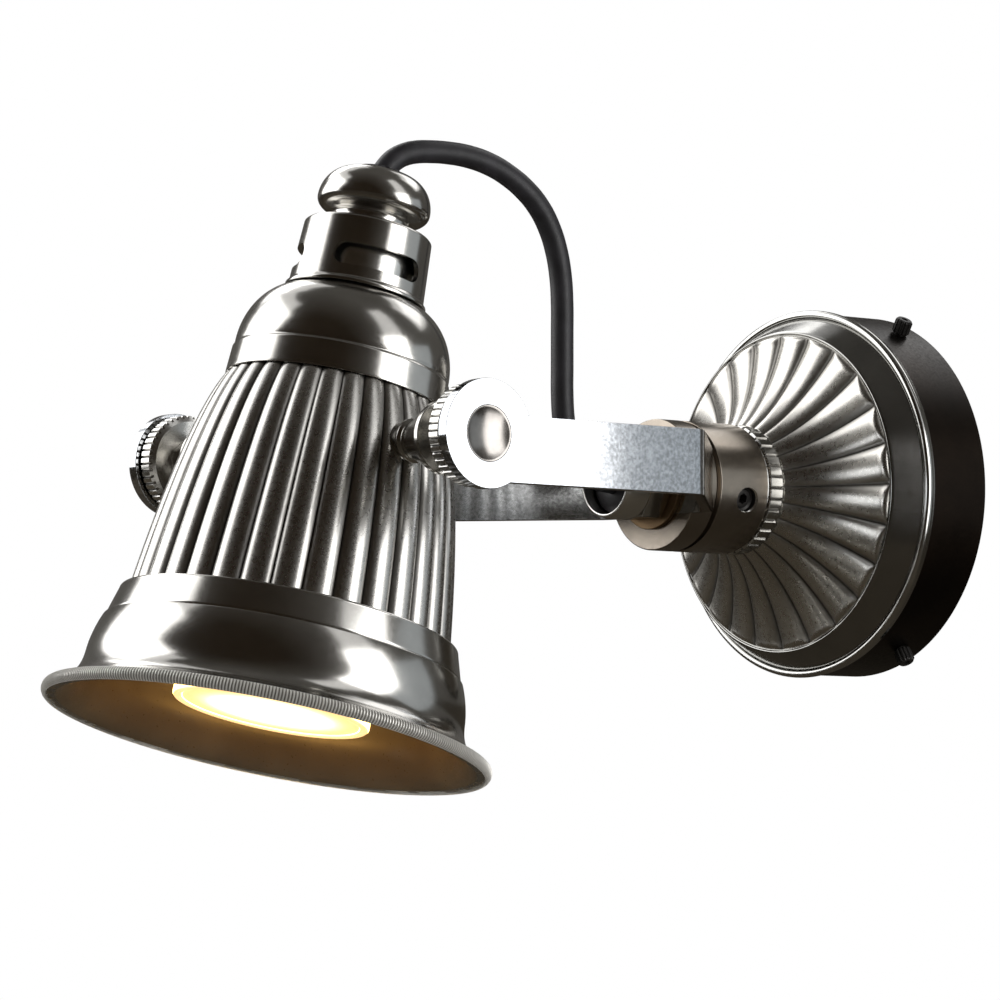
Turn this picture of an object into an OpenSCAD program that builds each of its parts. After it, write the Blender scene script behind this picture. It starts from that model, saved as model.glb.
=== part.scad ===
// Wall spotlight: a fluted bell head between the arms of a bent strap yoke, on a round fluted canopy.
// The wall is the plane y = 0, the light stands out from it along -Y, and +Z is up.
// The origin is the centre of the canopy's back, on the wall. All sizes are in millimetres.

/* [Canopy] */
// Outer radius of the canopy's side wall
canopy_r = 49.2; // [45:0.1:60]
// Depth of the side wall, from the wall to the shoulder under the rim ring
canopy_depth = 19; // [17:0.5:26]
// Thickness of the spun sheet
sheet_t = 1.2; // [0.8:0.1:1.6]
// How far the rim ring stands out past the side wall
rim_proud = 0.8; // [0.4:0.1:1.5]
// Width of the rim ring, seen from the front
rim_w = 3.2; // [2:0.1:4]
// Height of the rim ring
rim_h = 3; // [2:0.1:4]
// Rise of the smooth moulding between the rim ring and the fluted rose
moulding_rise = 6.8; // [5:0.1:9]
// Width of the smooth moulding, seen from the front
moulding_w = 4.2; // [3:0.1:6]
// Number of petals on the rose
petals = 24; // [16:1:32]
// Depth of the grooves at the rose's outer edge
petal_h = 2.4; // [1.2:0.1:3]
// Rise of the rose from its outer edge to its flat top
rose_rise = 14.8; // [12:0.1:20]
// Radius of the rose's flat top
rose_top_r = 17; // [16:0.1:20]

/* [Wall plate] */
// Thickness of the wall plate
plate_t = 2; // [1.5:0.1:3]
// Distance between the two wall screw slots
slot_spacing = 60; // [50:1:66]
// Width of a wall screw slot
slot_w = 4.6; // [4:0.1:6]
// End to end length of a wall screw slot
slot_len = 12; // [8:0.5:16]
// Radius of the cable hole in the wall plate
entry_r = 8; // [5:0.5:10]
// Radius of the thread of the canopy's side screws
side_screw_r = 1.5; // [1.25:0.05:2]
// Distance from the wall to the side screws
side_screw_d = 8; // [6:0.5:10]

/* [Hub] */
// Outer radius of the hub
hub_r = 17.5; // [16:0.1:20]
// Length of the knurled ring at the rose
hub_knurl_h = 6; // [4:0.1:8]
// Number of teeth on the hub's knurled ring
hub_teeth = 36; // [24:1:48]
// Length of the fixed collar
hub_collar_h = 16.6; // [14:0.1:22]
// Length of the turning front ring, with its groove
hub_front_h = 8.5; // [7:0.1:12]
// Radius of the swivel stem
stem_r = 8; // [7.4:0.1:9]
// Radius of the grub screw
grub_r = 2.4; // [2:0.1:3]
// Radius of the threaded nipple
nipple_r = 5; // [4.8:0.05:5.2]
// Width across flats of the nipple nut
nut_af = 18.5; // [16:0.1:20]
// Thickness of the nipple nut
nut_h = 7; // [5:0.1:8]
// Outer radius of the gland cap
gland_r = 9.8; // [9:0.1:11]
// Length of the gland cap
gland_h = 8.6; // [8:0.1:10]

/* [Yoke] */
// Width of the strap
strap_w = 16.5; // [14:0.1:19]
// Thickness of the strap
strap_t = 3; // [2.6:0.1:3.6]
// Half width over the outside of the arms
yoke_half_w = 66; // [64:0.1:72]
// Half length of the straight web on the hub
web_half = 20; // [18.5:0.1:24]
// Distance from the hub's face to where the arms run straight
shoulder_run = 41; // [38:0.5:50]
// Distance from the hub's face to the pivot
arm_reach = 110; // [108:0.5:125]
// Outer radius of the eye at the end of an arm
eye_r = 13.5; // [12:0.1:15]
// Height of the eye's centre over the arm's centre line
eye_rise = 3.5; // [1:0.1:4.5]
// Radius of the dished bolt head in the eye
dish_r = 6.9; // [6:0.1:8]
// Radius of the pivot bolt
bolt_r = 3; // [2.5:0.1:3.4]

/* [Knobs] */
// Outer radius of a clamp knob
knob_r = 12.7; // [11:0.1:14]
// Thickness of a clamp knob
knob_h = 5; // [4:0.1:6]
// Number of teeth on a clamp knob
knob_teeth = 44; // [30:1:60]
// Radius of a boss at the head
boss_foot_r = 4.8; // [4.6:0.1:6]
// Radius of a boss at its rim
boss_wide_r = 9.3; // [7.5:0.1:10]

/* [Head] */
// Tilt of the head at rest, mouth away from the wall, in degrees
rest_tilt = 14; // [8:1:20]
// Number of ribs on the fluted body
ribs = 32; // [24:1:36]
// Depth of the grooves at the foot of the fluted body
rib_h = 2; // [1.2:0.1:2.4]
// Radius of the fluted body at its top
body_top_r = 28; // [27.4:0.1:30]
// Radius of the fluted body at its foot
body_foot_r = 41.1; // [39:0.1:42]
// Height of the fluted body's top over the pivot
body_top = 14.5; // [13:0.1:17]
// Depth of the fluted body's foot under the pivot
body_foot = 44.8; // [42:0.1:48]
// Thickness of the metal of the head
head_t = 1.4; // [1:0.1:1.8]
// Height of the collar band under the fluted body
band_h = 8.2; // [6:0.1:10]
// How far the collar band's top stands out past the foot of the ribs
band_overhang = 2.2; // [1.9:0.1:4]
// Length of the bell, from the collar band to the mouth
bell_h = 22.4; // [19:0.1:26]
// Radius of the mouth over the knurled rim
mouth_r = 57.3; // [54:0.1:59]
// Height of the knurled rim
rim_band_h = 3.3; // [2.5:0.1:4]
// Number of teeth on the knurled rim
rim_teeth = 260; // [160:1:320]
// Height of the dome's straight lower band
dome_band_h = 8.3; // [6:0.1:10]
// Height of the dome over its band
dome_h = 17.2; // [14:0.1:19]
// Height of the vent collar
vent_h = 18.2; // [15:0.1:21]
// Radius of the vent collar at its foot
vent_r = 17.4; // [16.8:0.1:18.6]
// Height of a vent slot
vent_slot_h = 6; // [4:0.1:7]
// Angle that a vent slot spans, in degrees
vent_slot_angle = 84; // [60:1:96]
// Height of the finial
finial_h = 15.5; // [14:0.1:18]
// Widest radius of the finial
finial_r = 14.6; // [13:0.1:16]

/* [Lamp] */
// Radius of the reflector lamp's face
lamp_r = 25; // [24:0.1:25.5]
// Length of the reflector lamp without its pins
lamp_len = 49; // [46:0.5:52]
// Distance from the mouth to the lamp's face
lamp_inset = 6.5; // [4:0.5:8]
// Radius of the lamp holder
holder_r = 13.5; // [12:0.1:15]
// Length of the lamp holder
holder_h = 22; // [20:0.5:24]

/* [Cable] */
// Radius of the cable's round sheath
cable_r = 3; // [2.5:0.1:3.2]

/* [Hidden] */
$fn = 64;

// Clearances: a fixed fit, a running fit, a slip between turning faces
fit = 0.05;
run_fit = 0.05;
slip = 0.3;
knob_slip = 0.1;

// Stations along the wall normal, counted from the wall
rim_d = canopy_depth + rim_h;
rose_d = rim_d + moulding_rise;
rose_top_d = rose_d + rose_rise;
collar_d = rose_top_d + hub_knurl_h;
front_d = collar_d + hub_collar_h + slip;
face_d = front_d + hub_front_h;
washer_h = 1.4;
nut_d = face_d + washer_h;
gland_d = nut_d + nut_h;
pivot_d = face_d + arm_reach;

// Canopy
cup_in_r = canopy_r - sheet_t;
shoulder_r = canopy_r + rim_proud - rim_w;
rose_r = shoulder_r - moulding_w;
rose_lip_h = 0.8;
rose_top_t = 2;
petal_points = 8;
seat_w = 6;

// Wall plate
plate_r = cup_in_r - 3;
tab_w = 10;
tab_t = 2;
tab_gap = 0.6;
tab_h = side_screw_d + 4;
tab_in_r = sqrt((cup_in_r - tab_gap) * (cup_in_r - tab_gap) - tab_w * tab_w / 4) - tab_t;
tab_foot = 4;
side_head_r = 2.4;
side_head_h = 4.2;
side_teeth = 14;
side_angles = [60, 180, 300];
block = [28, 12, 11];
block_z = -20;
terminal_pitch = 9;
terminal_r = 2;

// Hub
tail_r = stem_r + 1.6;
tail_len = hub_knurl_h + 9;
locknut_h = 5;
locknut_af = 2 * tail_r + 5;
groove_w = 1.2;
groove_deep = 1.9;
stem_groove = 1;
stem_groove_w = 2 * grub_r + 0.4;
grub_d = collar_d + 7;
grub_turn = 14;
grub_socket_r = 1.4;
grub_inset = 1.9;
nipple_bore = 3.5;
washer_r = 12;
gland_floor = 2.6;
gland_bore = gland_r - 1.2;
seal_h = 3.4;
seal_tip_d = gland_d + gland_floor;

// Yoke, in plan: the strap's centre line and its bends
web_c = face_d - strap_t / 2;
arm_c = yoke_half_w - strap_t / 2;
arm_in = yoke_half_w - strap_t;
bend_r = 6;
bend_steps = 6;
arm_d = face_d + shoulder_run;
dish_deep = 1.6;

// Pivot stack, counted along X from the centre
friction_t = 0.6;
knob_out = arm_in - friction_t - knob_slip;
knob_in = knob_out - knob_h;
boss_out = knob_in - knob_slip;
boss_rim_t = 1.4;
boss_neck_r = boss_wide_r - 3.2;
pivot_nut_h = 4;
pivot_nut_af = 10;
dish_ball = 9;
dish_sink = 1.1;

// Head, in its own frame: the pivot at the origin, the finial up
body_shoulder_r = 35.4;
body_shoulder = 2;
band_top = -body_foot;
band_foot = band_top - band_h;
band_r = body_foot_r + band_overhang;
mouth = band_foot - bell_h;
band_foot_r = band_r + 1.9;
bell_top_r = band_foot_r + 0.7;
bell_waist_r = bell_top_r + 2.4;
dome_band_top = body_top + dome_band_h;
dome_r = body_top_r + 0.4;
dome_round = 14.3;
vent_foot = dome_band_top + dome_h;
vent_top = vent_foot + vent_h;
vent_top_r = vent_r - 0.9;
vent_plate_t = 1.5;
vent_wall = 1.3;
vent_slot_z = vent_foot + 7.5;
vent_slot_first = -20;
finial_top = vent_top + finial_h;
finial_neck_r = 9.8;
finial_top_r = 7;
finial_belly = vent_top + 7.1;
finial_roll = [3.5, 3];
body_a = [body_foot_r, -body_foot];
body_b = [body_shoulder_r, body_shoulder];
body_c = [body_top_r, body_top];
pivot_r = let (a = body_a[1] - 2 * body_b[1] + body_c[1], b = 2 * (body_b[1] - body_a[1]),
    t = (sqrt(b * b - 4 * a * body_a[1]) - b) / (2 * a))
    mix(mix(body_a, body_b, t), mix(body_b, body_c, t), t)[0];
nut_inset = 2.1;
boss_in = pivot_r - rib_h - head_t - nut_inset;
body_rings = 8;
lining_rings = 4;
rib_points = 6;
sleeve_r = 13.6;
sleeve_t = 1;
tube_r = 5;
tube_bore = 3.4;
tube_top = finial_top - 8;
tie_nut_h = 3.5;
tie_nut_af = 15;
tube_foot = body_top - tie_nut_h - 3;
spider_t = 1.5;
spider_ring_r = 15;
spider_hole_r = 4;
bush_r = 5.4;
bush_lip_r = 6.6;
bush_lip_h = 0.8;
lamp_face = mouth + lamp_inset;
lamp_top = lamp_face + lamp_len;
lamp_glass_r = lamp_r - 2.5;
lamp_glass_t = 1.4;
lamp_neck_r = 10;
neck_deep = 4;
holder_foot = lamp_top - neck_deep;
holder_top = holder_foot + holder_h;
stud_r = 1.5;
stud_x = tie_nut_af / sqrt(3) + stud_r + 0.8;
lead_r = 0.9;
lead_x = 1.3;
bezel_t = 1.2;
bezel_in_r = lamp_r + 1.8;
bezel_lip = 9;

// Route of the cable: distance from the wall and height, from the gland to the finial
cable_route = [[86, 0], [90, 0], [94, 0.5], [98, 2.2], [102, 5.6], [104.8, 10.2], [106, 15.5],
    [106.5, 22], [106.5, 30], [106.5, 38], [106.5, 46], [107, 53], [108.5, 60], [111, 66], [114.5, 71],
    [119, 75], [125, 78.5], [131, 80.8], [138, 82.2], [145, 82.6], [151, 82.4], [155.6, 81.9],
    [159.1, 81], [162.1, 79.6], [164.6, 77.6], [166.6, 75.1], [168.1, 72.1], [168.6, 69.1],
    [169.1, 67.1]];
cable_sides = 10;

// Curves
function mix(a, b, t) = a + (b - a) * t;
function bow(a, b, c, n) = [for (i = [0 : n]) let (t = i / n) mix(mix(a, b, t), mix(b, c, t), t)];
function oval(c, rx, ry, from, to, n) =
    [for (i = [0 : n]) let (t = mix(from, to, i / n)) c + [rx * cos(t), ry * sin(t)]];
function polar(r, t) = [r * cos(t), r * sin(t)];
function crest(i, per) = let (s = 2 * (i % per) / per - 1) 1 - s * s;
function toothed(r, teeth, deep) = [for (i = [0 : 4 * teeth - 1])
    polar(i % 4 < 2 ? r : r - deep, 90 * i / teeth)];

// Local frames: out of the wall, at the pivot along X, and along the head's own axis
module out(d = 0) { rotate([90, 0, 0]) translate([0, 0, d]) children(); }
module at_pivot(side) {
    translate([0, -pivot_d, eye_rise]) mirror([side < 0 ? 1 : 0, 0, 0]) rotate([0, 90, 0]) children();
}
module in_head() { translate([0, -pivot_d, eye_rise]) rotate([-rest_tilt, 0, 0]) children(); }

module tube(r, bore, h, z = 0) {
    translate([0, 0, z]) difference() {
        cylinder(r = r, h = h);
        translate([0, 0, -1]) cylinder(r = bore, h = h + 2);
    }
}
module hex(af, h) { cylinder(r = af / sqrt(3), h = h, $fn = 6); }
module knurled(r, teeth, deep, h) { linear_extrude(h) polygon(toothed(r, teeth, deep)); }

// A ribbed shell round an axis. Its rows go up the outside and back down the smooth inside, and the
// last row meets the first. A row is [crest radius, height, groove depth].
module ribbed(rows, count, per) {
    turn = count * per;
    points = [for (row = rows, i = [0 : turn - 1])
        let (p = polar(row[0] - row[2] * (1 - crest(i, per)), 360 * i / turn)) [p[0], p[1], row[1]]];
    faces = [for (k = [0 : len(rows) - 1], i = [0 : turn - 1])
        let (j = (i + 1) % turn, low = k * turn, up = (k + 1) % len(rows) * turn)
        each [[low + i, up + i, up + j], [low + i, up + j, low + j]]];
    polyhedron(points, faces);
}

// Canopy and wall fixing
module wall_plate() {
    color("silver") difference() {
        union() {
            out() cylinder(r = plate_r, h = plate_t);
            for (a = side_angles) rotate([0, -a, 0]) {
                translate([tab_in_r, -tab_h, -tab_w / 2]) cube([tab_t, tab_h, tab_w]);
                translate([tab_in_r - tab_foot, -plate_t, -tab_w / 2])
                    cube([tab_foot + tab_t, plate_t, tab_w]);
            }
        }
        out(-1) cylinder(r = entry_r, h = plate_t + 2);
        for (x = [-1, 1]) translate([x * slot_spacing / 2, 0, 0]) out(-1) {
            for (e = [-1, 1]) translate([e * (slot_len - slot_w) / 2, 0, 0])
                cylinder(d = slot_w, h = plate_t + 2);
            translate([(slot_w - slot_len) / 2, -slot_w / 2, 0])
                cube([slot_len - slot_w, slot_w, plate_t + 2]);
        }
        for (a = side_angles) rotate([0, -a, 0])
            translate([tab_in_r - 1, -side_screw_d, 0]) rotate([0, 90, 0])
                cylinder(r = side_screw_r + fit, h = tab_t + 2);
    }
}
module canopy_cup() {
    outer = concat([[canopy_r, 0], [canopy_r, canopy_depth], [shoulder_r, canopy_depth]],
        bow([shoulder_r, rim_d - 0.6], [shoulder_r - 0.5, rose_d - 1], [rose_r + 0.3, rose_d], 8),
        [[rose_r - seat_w, rose_d], [rose_r - seat_w, rose_d - sheet_t]]);
    inner = concat(
        bow([rose_r - 0.6, rose_d - sheet_t], [shoulder_r - 1.8, rose_d - 2.6],
            [shoulder_r - sheet_t, rim_d - 0.6], 8),
        [[shoulder_r - sheet_t, canopy_depth - sheet_t], [cup_in_r, canopy_depth - sheet_t], [cup_in_r, 0]]);
    color("dimgray") difference() {
        out() rotate_extrude() polygon(concat(outer, inner));
        for (a = side_angles) rotate([0, -a, 0])
            translate([cup_in_r - 2, -side_screw_d, 0]) rotate([0, 90, 0])
                cylinder(r = side_screw_r + 0.1, h = sheet_t + 4);
    }
}
module canopy_rim() {
    color("lightgray") out() rotate_extrude() polygon(concat(
        [[shoulder_r + fit, canopy_depth], [canopy_r + rim_proud - 0.4, canopy_depth]],
        oval([canopy_r + rim_proud - 0.9, rim_d - 1.2], 0.9, 1.2, -40, 90, 6),
        oval([shoulder_r + fit + 0.7, rim_d - 0.7], 0.7, 0.7, 90, 180, 4)));
}
module canopy_rose() {
    sag = [mix(rose_r, rose_top_r, 0.72), mix(rose_d, rose_top_d, 0.4)];
    rise = bow([rose_r, rose_d + rose_lip_h], sag, [rose_top_r, rose_top_d], 7);
    under = rose_top_d - rose_top_t;
    under_r = rose_top_r - petal_h;
    lining = bow([under_r, under], sag - [rose_top_t, rose_top_t + 1], [rose_r - seat_w, rose_d], 4);
    rows = concat([[rose_r, rose_d, petal_h]],
        [for (p = rise) [p[0], p[1], petal_h * mix(0.35, 1, (p[0] - rose_top_r) / (rose_r - rose_top_r))]],
        [[tail_r + fit, rose_top_d, 0], [tail_r + fit, under, 0]], [for (p = lining) [p[0], p[1], 0]]);
    color("gray") out() ribbed(rows, petals, petal_points);
}
module side_screws() {
    color("black") for (a = side_angles) rotate([0, -a, 0])
        translate([0, -side_screw_d, 0]) rotate([0, 90, 0]) {
            translate([0, 0, tab_in_r - 1]) cylinder(r = side_screw_r, h = canopy_r - tab_in_r + 2);
            translate([0, 0, canopy_r + 0.2]) knurled(side_head_r, side_teeth, 0.3, side_head_h);
        }
}
module terminal_block() {
    color("ivory") difference() {
        translate([-block[0] / 2, -plate_t - block[1], block_z - block[2] / 2]) cube(block);
        for (k = [-1 : 1]) translate([k * terminal_pitch, 0, block_z])
            out(plate_t + 3) cylinder(r = terminal_r, h = block[1]);
    }
}
module supply_lead() {
    color("black") out(plate_t + block[1] + 1) cylinder(r = nipple_bore - 0.7,
        h = cable_route[0][0] - plate_t - block[1] - 1);
}

// Hub
module rear_locknut() {
    color("silver") out(rose_top_d - rose_top_t - locknut_h) difference() {
        hex(locknut_af, locknut_h);
        translate([0, 0, -1]) cylinder(r = tail_r + fit, h = locknut_h + 2);
    }
}
module hub_knurled_ring() {
    color("lightgray") out(rose_top_d) difference() {
        union() {
            cylinder(r = hub_r - 0.9, h = hub_knurl_h);
            translate([0, 0, 0.6]) knurled(hub_r, hub_teeth, 0.6, hub_knurl_h - 1.6);
        }
        translate([0, 0, -1]) cylinder(r = tail_r + fit, h = hub_knurl_h + 2);
    }
}
module at_grub() { translate([0, -grub_d, 0]) rotate([0, 90 + grub_turn, 0]) children(); }
module hub_collar() {
    color("gray") difference() {
        union() {
            out(collar_d) cylinder(r = hub_r, h = hub_collar_h);
            out(collar_d - tail_len) cylinder(r = tail_r, h = tail_len + 1);
        }
        out(collar_d - tail_len - 1) cylinder(r = stem_r + run_fit, h = tail_len + hub_collar_h + 2);
        at_grub() cylinder(r = grub_r + fit, h = hub_r + 1);
    }
}
module hub_grub_screw() {
    tip = stem_r - stem_groove + 0.3;
    color("black") at_grub() difference() {
        translate([0, 0, tip]) cylinder(r = grub_r, h = hub_r - grub_inset - tip);
        translate([0, 0, hub_r - grub_inset - 2.4]) cylinder(r = grub_socket_r, h = 3, $fn = 6);
    }
}
module hub_front() {
    stem_len = front_d - collar_d + tail_len - 1;
    color("gray") difference() {
        out(front_d) rotate_extrude() polygon([[0, -stem_len], [stem_r, -stem_len],
            [stem_r, grub_d - stem_groove_w / 2 - front_d],
            [stem_r - stem_groove, grub_d - stem_groove_w / 2 - front_d],
            [stem_r - stem_groove, grub_d + stem_groove_w / 2 - front_d],
            [stem_r, grub_d + stem_groove_w / 2 - front_d], [stem_r, 0],
            [hub_r - groove_deep, 0], [hub_r - groove_deep, groove_w], [hub_r, groove_w],
            [hub_r, hub_front_h - 0.4], [hub_r - 0.4, hub_front_h], [0, hub_front_h]]);
        out(front_d - stem_len - 1) cylinder(r = nipple_r + fit, h = stem_len + hub_front_h + 2);
        translate([-hub_r - 1, -face_d - 1, -strap_w / 2 - fit])
            cube([2 * hub_r + 2, strap_t + 1, strap_w + 2 * fit]);
    }
}
module nipple() {
    start = collar_d + 4;
    color("goldenrod") out() tube(nipple_r, nipple_bore, seal_tip_d - start, start);
}
module nipple_washer() { color("sienna") out() tube(washer_r, nipple_r + fit, washer_h, face_d); }
module nipple_nut() {
    color("lightgray") out(nut_d) difference() {
        intersection() {
            hex(nut_af, nut_h);
            rotate_extrude() polygon([[0, 0], [nut_af / 2 + 0.1, 0], [nut_af / 2 + 2, 1.1],
                [nut_af / 2 + 2, nut_h - 1.1], [nut_af / 2 + 0.1, nut_h], [0, nut_h]]);
        }
        translate([0, 0, -1]) cylinder(r = nipple_r + fit, h = nut_h + 2);
    }
}
module gland_cap() {
    color("silver") out(gland_d) difference() {
        cylinder(r = gland_r, h = gland_h);
        translate([0, 0, gland_floor]) cylinder(r = gland_bore, h = gland_h);
        translate([0, 0, -1]) cylinder(r = nipple_r + fit, h = gland_h);
    }
}
module gland_seal() { color("black") out() tube(gland_bore - fit, cable_r + fit, seal_h, seal_tip_d); }

// Yoke: half of the strap in plan, from the middle of the web to the pivot
function turn_at(a, b, c, r) = let (u = (a - b) / norm(a - b), v = (c - b) / norm(c - b),
    half = acos(u * v) / 2, q = b + (u + v) / norm(u + v) * r / sin(half),
    s = b + u * r / tan(half) - q, e = b + v * r / tan(half) - q,
    from = atan2(s[1], s[0]), sweep = (atan2(e[1], e[0]) - from + 540) % 360 - 180)
    [for (i = [0 : bend_steps]) q + polar(r, from + sweep * i / bend_steps)];
function strap_side(off) = let (lean = atan2(arm_d - web_c, arm_c - web_half), back = off * tan(lean / 2),
    ahead = off * tan((90 - lean) / 2), r = bend_r,
    p = [web_half + back, web_c - off], q = [arm_c + off, arm_d - ahead])
    concat([[0, web_c - off]], turn_at([0, web_c - off], p, q, r + off),
        turn_at(p, q, [arm_c + off, pivot_d], r + off), [[arm_c + off, pivot_d]]);
module strap_half() {
    outside = strap_side(strap_t / 2);
    inside = strap_side(-strap_t / 2);
    polygon(concat(outside, [for (i = [len(inside) - 1 : -1 : 0]) inside[i]]));
}
module yoke() {
    color("silver") difference() {
        union() {
            for (side = [0, 1]) mirror([side, 0, 0]) translate([0, 0, -strap_w / 2])
                linear_extrude(strap_w) mirror([0, 1, 0]) strap_half();
            for (side = [-1, 1]) at_pivot(side) translate([0, 0, arm_in]) cylinder(r = eye_r, h = strap_t);
        }
        out(face_d - strap_t - 1) cylinder(r = nipple_r + fit, h = strap_t + 2);
        for (side = [-1, 1]) at_pivot(side) {
            translate([0, 0, arm_in - 1]) cylinder(r = bolt_r + run_fit, h = strap_t + 2);
            translate([0, 0, yoke_half_w - dish_deep]) cylinder(r = dish_r + run_fit, h = dish_deep + 1);
        }
    }
}

// Pivot stack
module pivot_bolt(side) {
    tail = boss_in - pivot_nut_h;
    seat = yoke_half_w - dish_deep + slip / 3;
    color("silver") at_pivot(side) difference() {
        union() {
            translate([0, 0, tail]) cylinder(r = bolt_r, h = seat - tail + 0.5);
            translate([0, 0, seat]) cylinder(r = dish_r, h = yoke_half_w - seat);
        }
        translate([0, 0, yoke_half_w + dish_ball - dish_sink]) sphere(r = dish_ball);
    }
}
module friction_washer(side) {
    color("black") at_pivot(side) tube(boss_wide_r, bolt_r + run_fit, friction_t, arm_in - friction_t);
}
module knob(side) {
    color("lightgray") at_pivot(side) difference() {
        union() {
            translate([0, 0, knob_in]) cylinder(r1 = knob_r - 1.4, r2 = knob_r - 0.6, h = 0.8);
            translate([0, 0, knob_in + 0.8]) knurled(knob_r, knob_teeth, 0.55, knob_h - 0.8);
        }
        translate([0, 0, knob_in - 1]) cylinder(r = bolt_r + run_fit, h = knob_h + 2);
    }
}
module boss(side) {
    foot = pivot_r;
    rim = mix(foot, boss_out, 0.62);
    neck = rim + boss_rim_t + 0.8;
    color("dimgray") at_pivot(side) difference() {
        rotate_extrude() polygon(concat([[0, boss_in], [boss_foot_r, boss_in], [boss_foot_r, foot + 2],
            [boss_foot_r + 0.8, foot + 2.4], [boss_foot_r + 0.8, foot + 3.4]],
            bow([boss_foot_r, foot + 4], [boss_foot_r + 1.6, mix(foot, rim, 0.6)], [boss_wide_r, rim], 8),
            [[boss_wide_r, rim + boss_rim_t], [boss_neck_r, neck], [boss_neck_r, boss_out], [0, boss_out]]));
        translate([0, 0, boss_in - 1]) cylinder(r = bolt_r + fit, h = boss_out - boss_in + 2);
    }
}
module pivot_nuts() {
    color("silver") for (side = [-1, 1]) at_pivot(side)
        translate([0, 0, boss_in - pivot_nut_h]) difference() {
            hex(pivot_nut_af, pivot_nut_h);
            translate([0, 0, -1]) cylinder(r = bolt_r + fit, h = pivot_nut_h + 2);
        }
}

// Head shells, from the fluted body outwards
module fluted_body() {
    wall = [rib_h + head_t, 0];
    rows = concat(
        [for (p = bow(body_a, body_b, body_c, body_rings)) [p[0], p[1], rib_h * p[0] / body_foot_r]],
        [for (p = bow(body_c - wall, body_b - wall, body_a - wall, lining_rings)) [p[0], p[1], 0]]);
    color("gray") in_head() difference() {
        ribbed(rows, ribs, rib_points);
        rotate([0, 90, 0]) rotate([0, 0, 20]) translate([0, 0, -body_foot_r])
            cylinder(r = boss_foot_r + fit, h = 2 * body_foot_r);
    }
}
module collar_band() {
    in_r = body_foot_r - rib_h - head_t;
    color("gray") in_head() rotate_extrude() polygon(concat([[in_r, band_foot], [band_foot_r, band_foot],
        [band_foot_r, band_foot + 0.8]], oval([band_r - 0.8, band_top - 0.8], 0.8, 0.8, 0, 90, 4),
        [[in_r, band_top]]));
}
module bell() {
    lip_r = mouth_r - 1.4;
    lip_top = mouth + rim_band_h;
    waist = mix(mouth, band_foot, 0.55);
    outside = concat([[lip_r, mouth + 0.5], [lip_r, lip_top]],
        bow([lip_r, lip_top], [bell_waist_r + 0.6, lip_top + 1], [bell_waist_r, waist], 7),
        [[bell_top_r, band_foot]]);
    inside = concat([[bell_top_r - head_t, band_foot]],
        bow([bell_waist_r - head_t, waist], [bell_waist_r - 0.8, lip_top], [lip_r - 2.4, mouth + 0.5], 7));
    color("dimgray") in_head() rotate_extrude() polygon(concat(outside, inside));
}
module bell_rim() {
    lip_r = mouth_r - 1.4;
    color("lightgray") in_head() translate([0, 0, mouth]) difference() {
        knurled(mouth_r, rim_teeth, 0.35, rim_band_h);
        translate([0, 0, -1]) cylinder(r = lip_r + fit, h = rim_band_h + 2, $fn = 160);
    }
}
module lamp_bezel() {
    out_r = bell_top_r - head_t - 0.2;
    color("dimgray") in_head() rotate_extrude() polygon([[out_r, band_foot], [out_r, band_foot - bezel_t],
        [bezel_in_r + bezel_t, band_foot - bezel_t - 2], [bezel_in_r + bezel_t, band_foot - bezel_lip],
        [bezel_in_r, band_foot - bezel_lip], [bezel_in_r, band_foot - 2], [out_r - 3, band_foot]]);
}
module dome_cap() {
    lift = sqrt(1 - pow((vent_r - dome_r + dome_round) / dome_round, 2));
    arc_c = [dome_r - 0.8 - dome_round, dome_band_top];
    arc_h = dome_h / lift;
    stop = asin(dome_h / arc_h);
    outside = concat([[dome_r, body_top], [dome_r - 0.4, dome_band_top - 0.8]],
        [[dome_r - 0.8, dome_band_top - 0.4]], oval(arc_c, dome_round, arc_h, 0, stop, 12));
    inside = oval(arc_c, dome_round - head_t, arc_h - head_t, asin((dome_h - head_t) / arc_h), 0, 10);
    eye = [[sleeve_r + fit, vent_foot], [sleeve_r + fit, vent_foot - head_t]];
    color("dimgray") in_head() rotate_extrude()
        polygon(concat(outside, eye, inside, [[dome_r - head_t, body_top]]));
}
module vent_collar() {
    bead = vent_foot + 1.6;
    color("gray") in_head() difference() {
        rotate_extrude() polygon([[sleeve_r + fit, vent_foot], [vent_r + 0.8, vent_foot],
            [vent_r + 0.8, bead - 0.8], [vent_r, bead], [vent_top_r, vent_top - 0.6],
            [vent_top_r - 0.6, vent_top], [tube_r + fit, vent_top], [tube_r + fit, vent_top - vent_plate_t],
            [vent_top_r - vent_wall, vent_top - vent_plate_t], [vent_r - vent_wall, bead],
            [sleeve_r + fit, bead]]);
        for (k = [0 : 2]) rotate([0, 0, vent_slot_first + 120 * k - vent_slot_angle / 2])
            rotate_extrude(angle = vent_slot_angle)
                translate([vent_top_r - vent_wall - 0.8, vent_slot_z - vent_slot_h / 2])
                    square([vent_wall + 3, vent_slot_h]);
    }
}
module inner_sleeve() {
    color("lightgray") in_head()
        tube(sleeve_r, sleeve_r - sleeve_t, vent_h - vent_plate_t + head_t, vent_foot - head_t);
}
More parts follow.
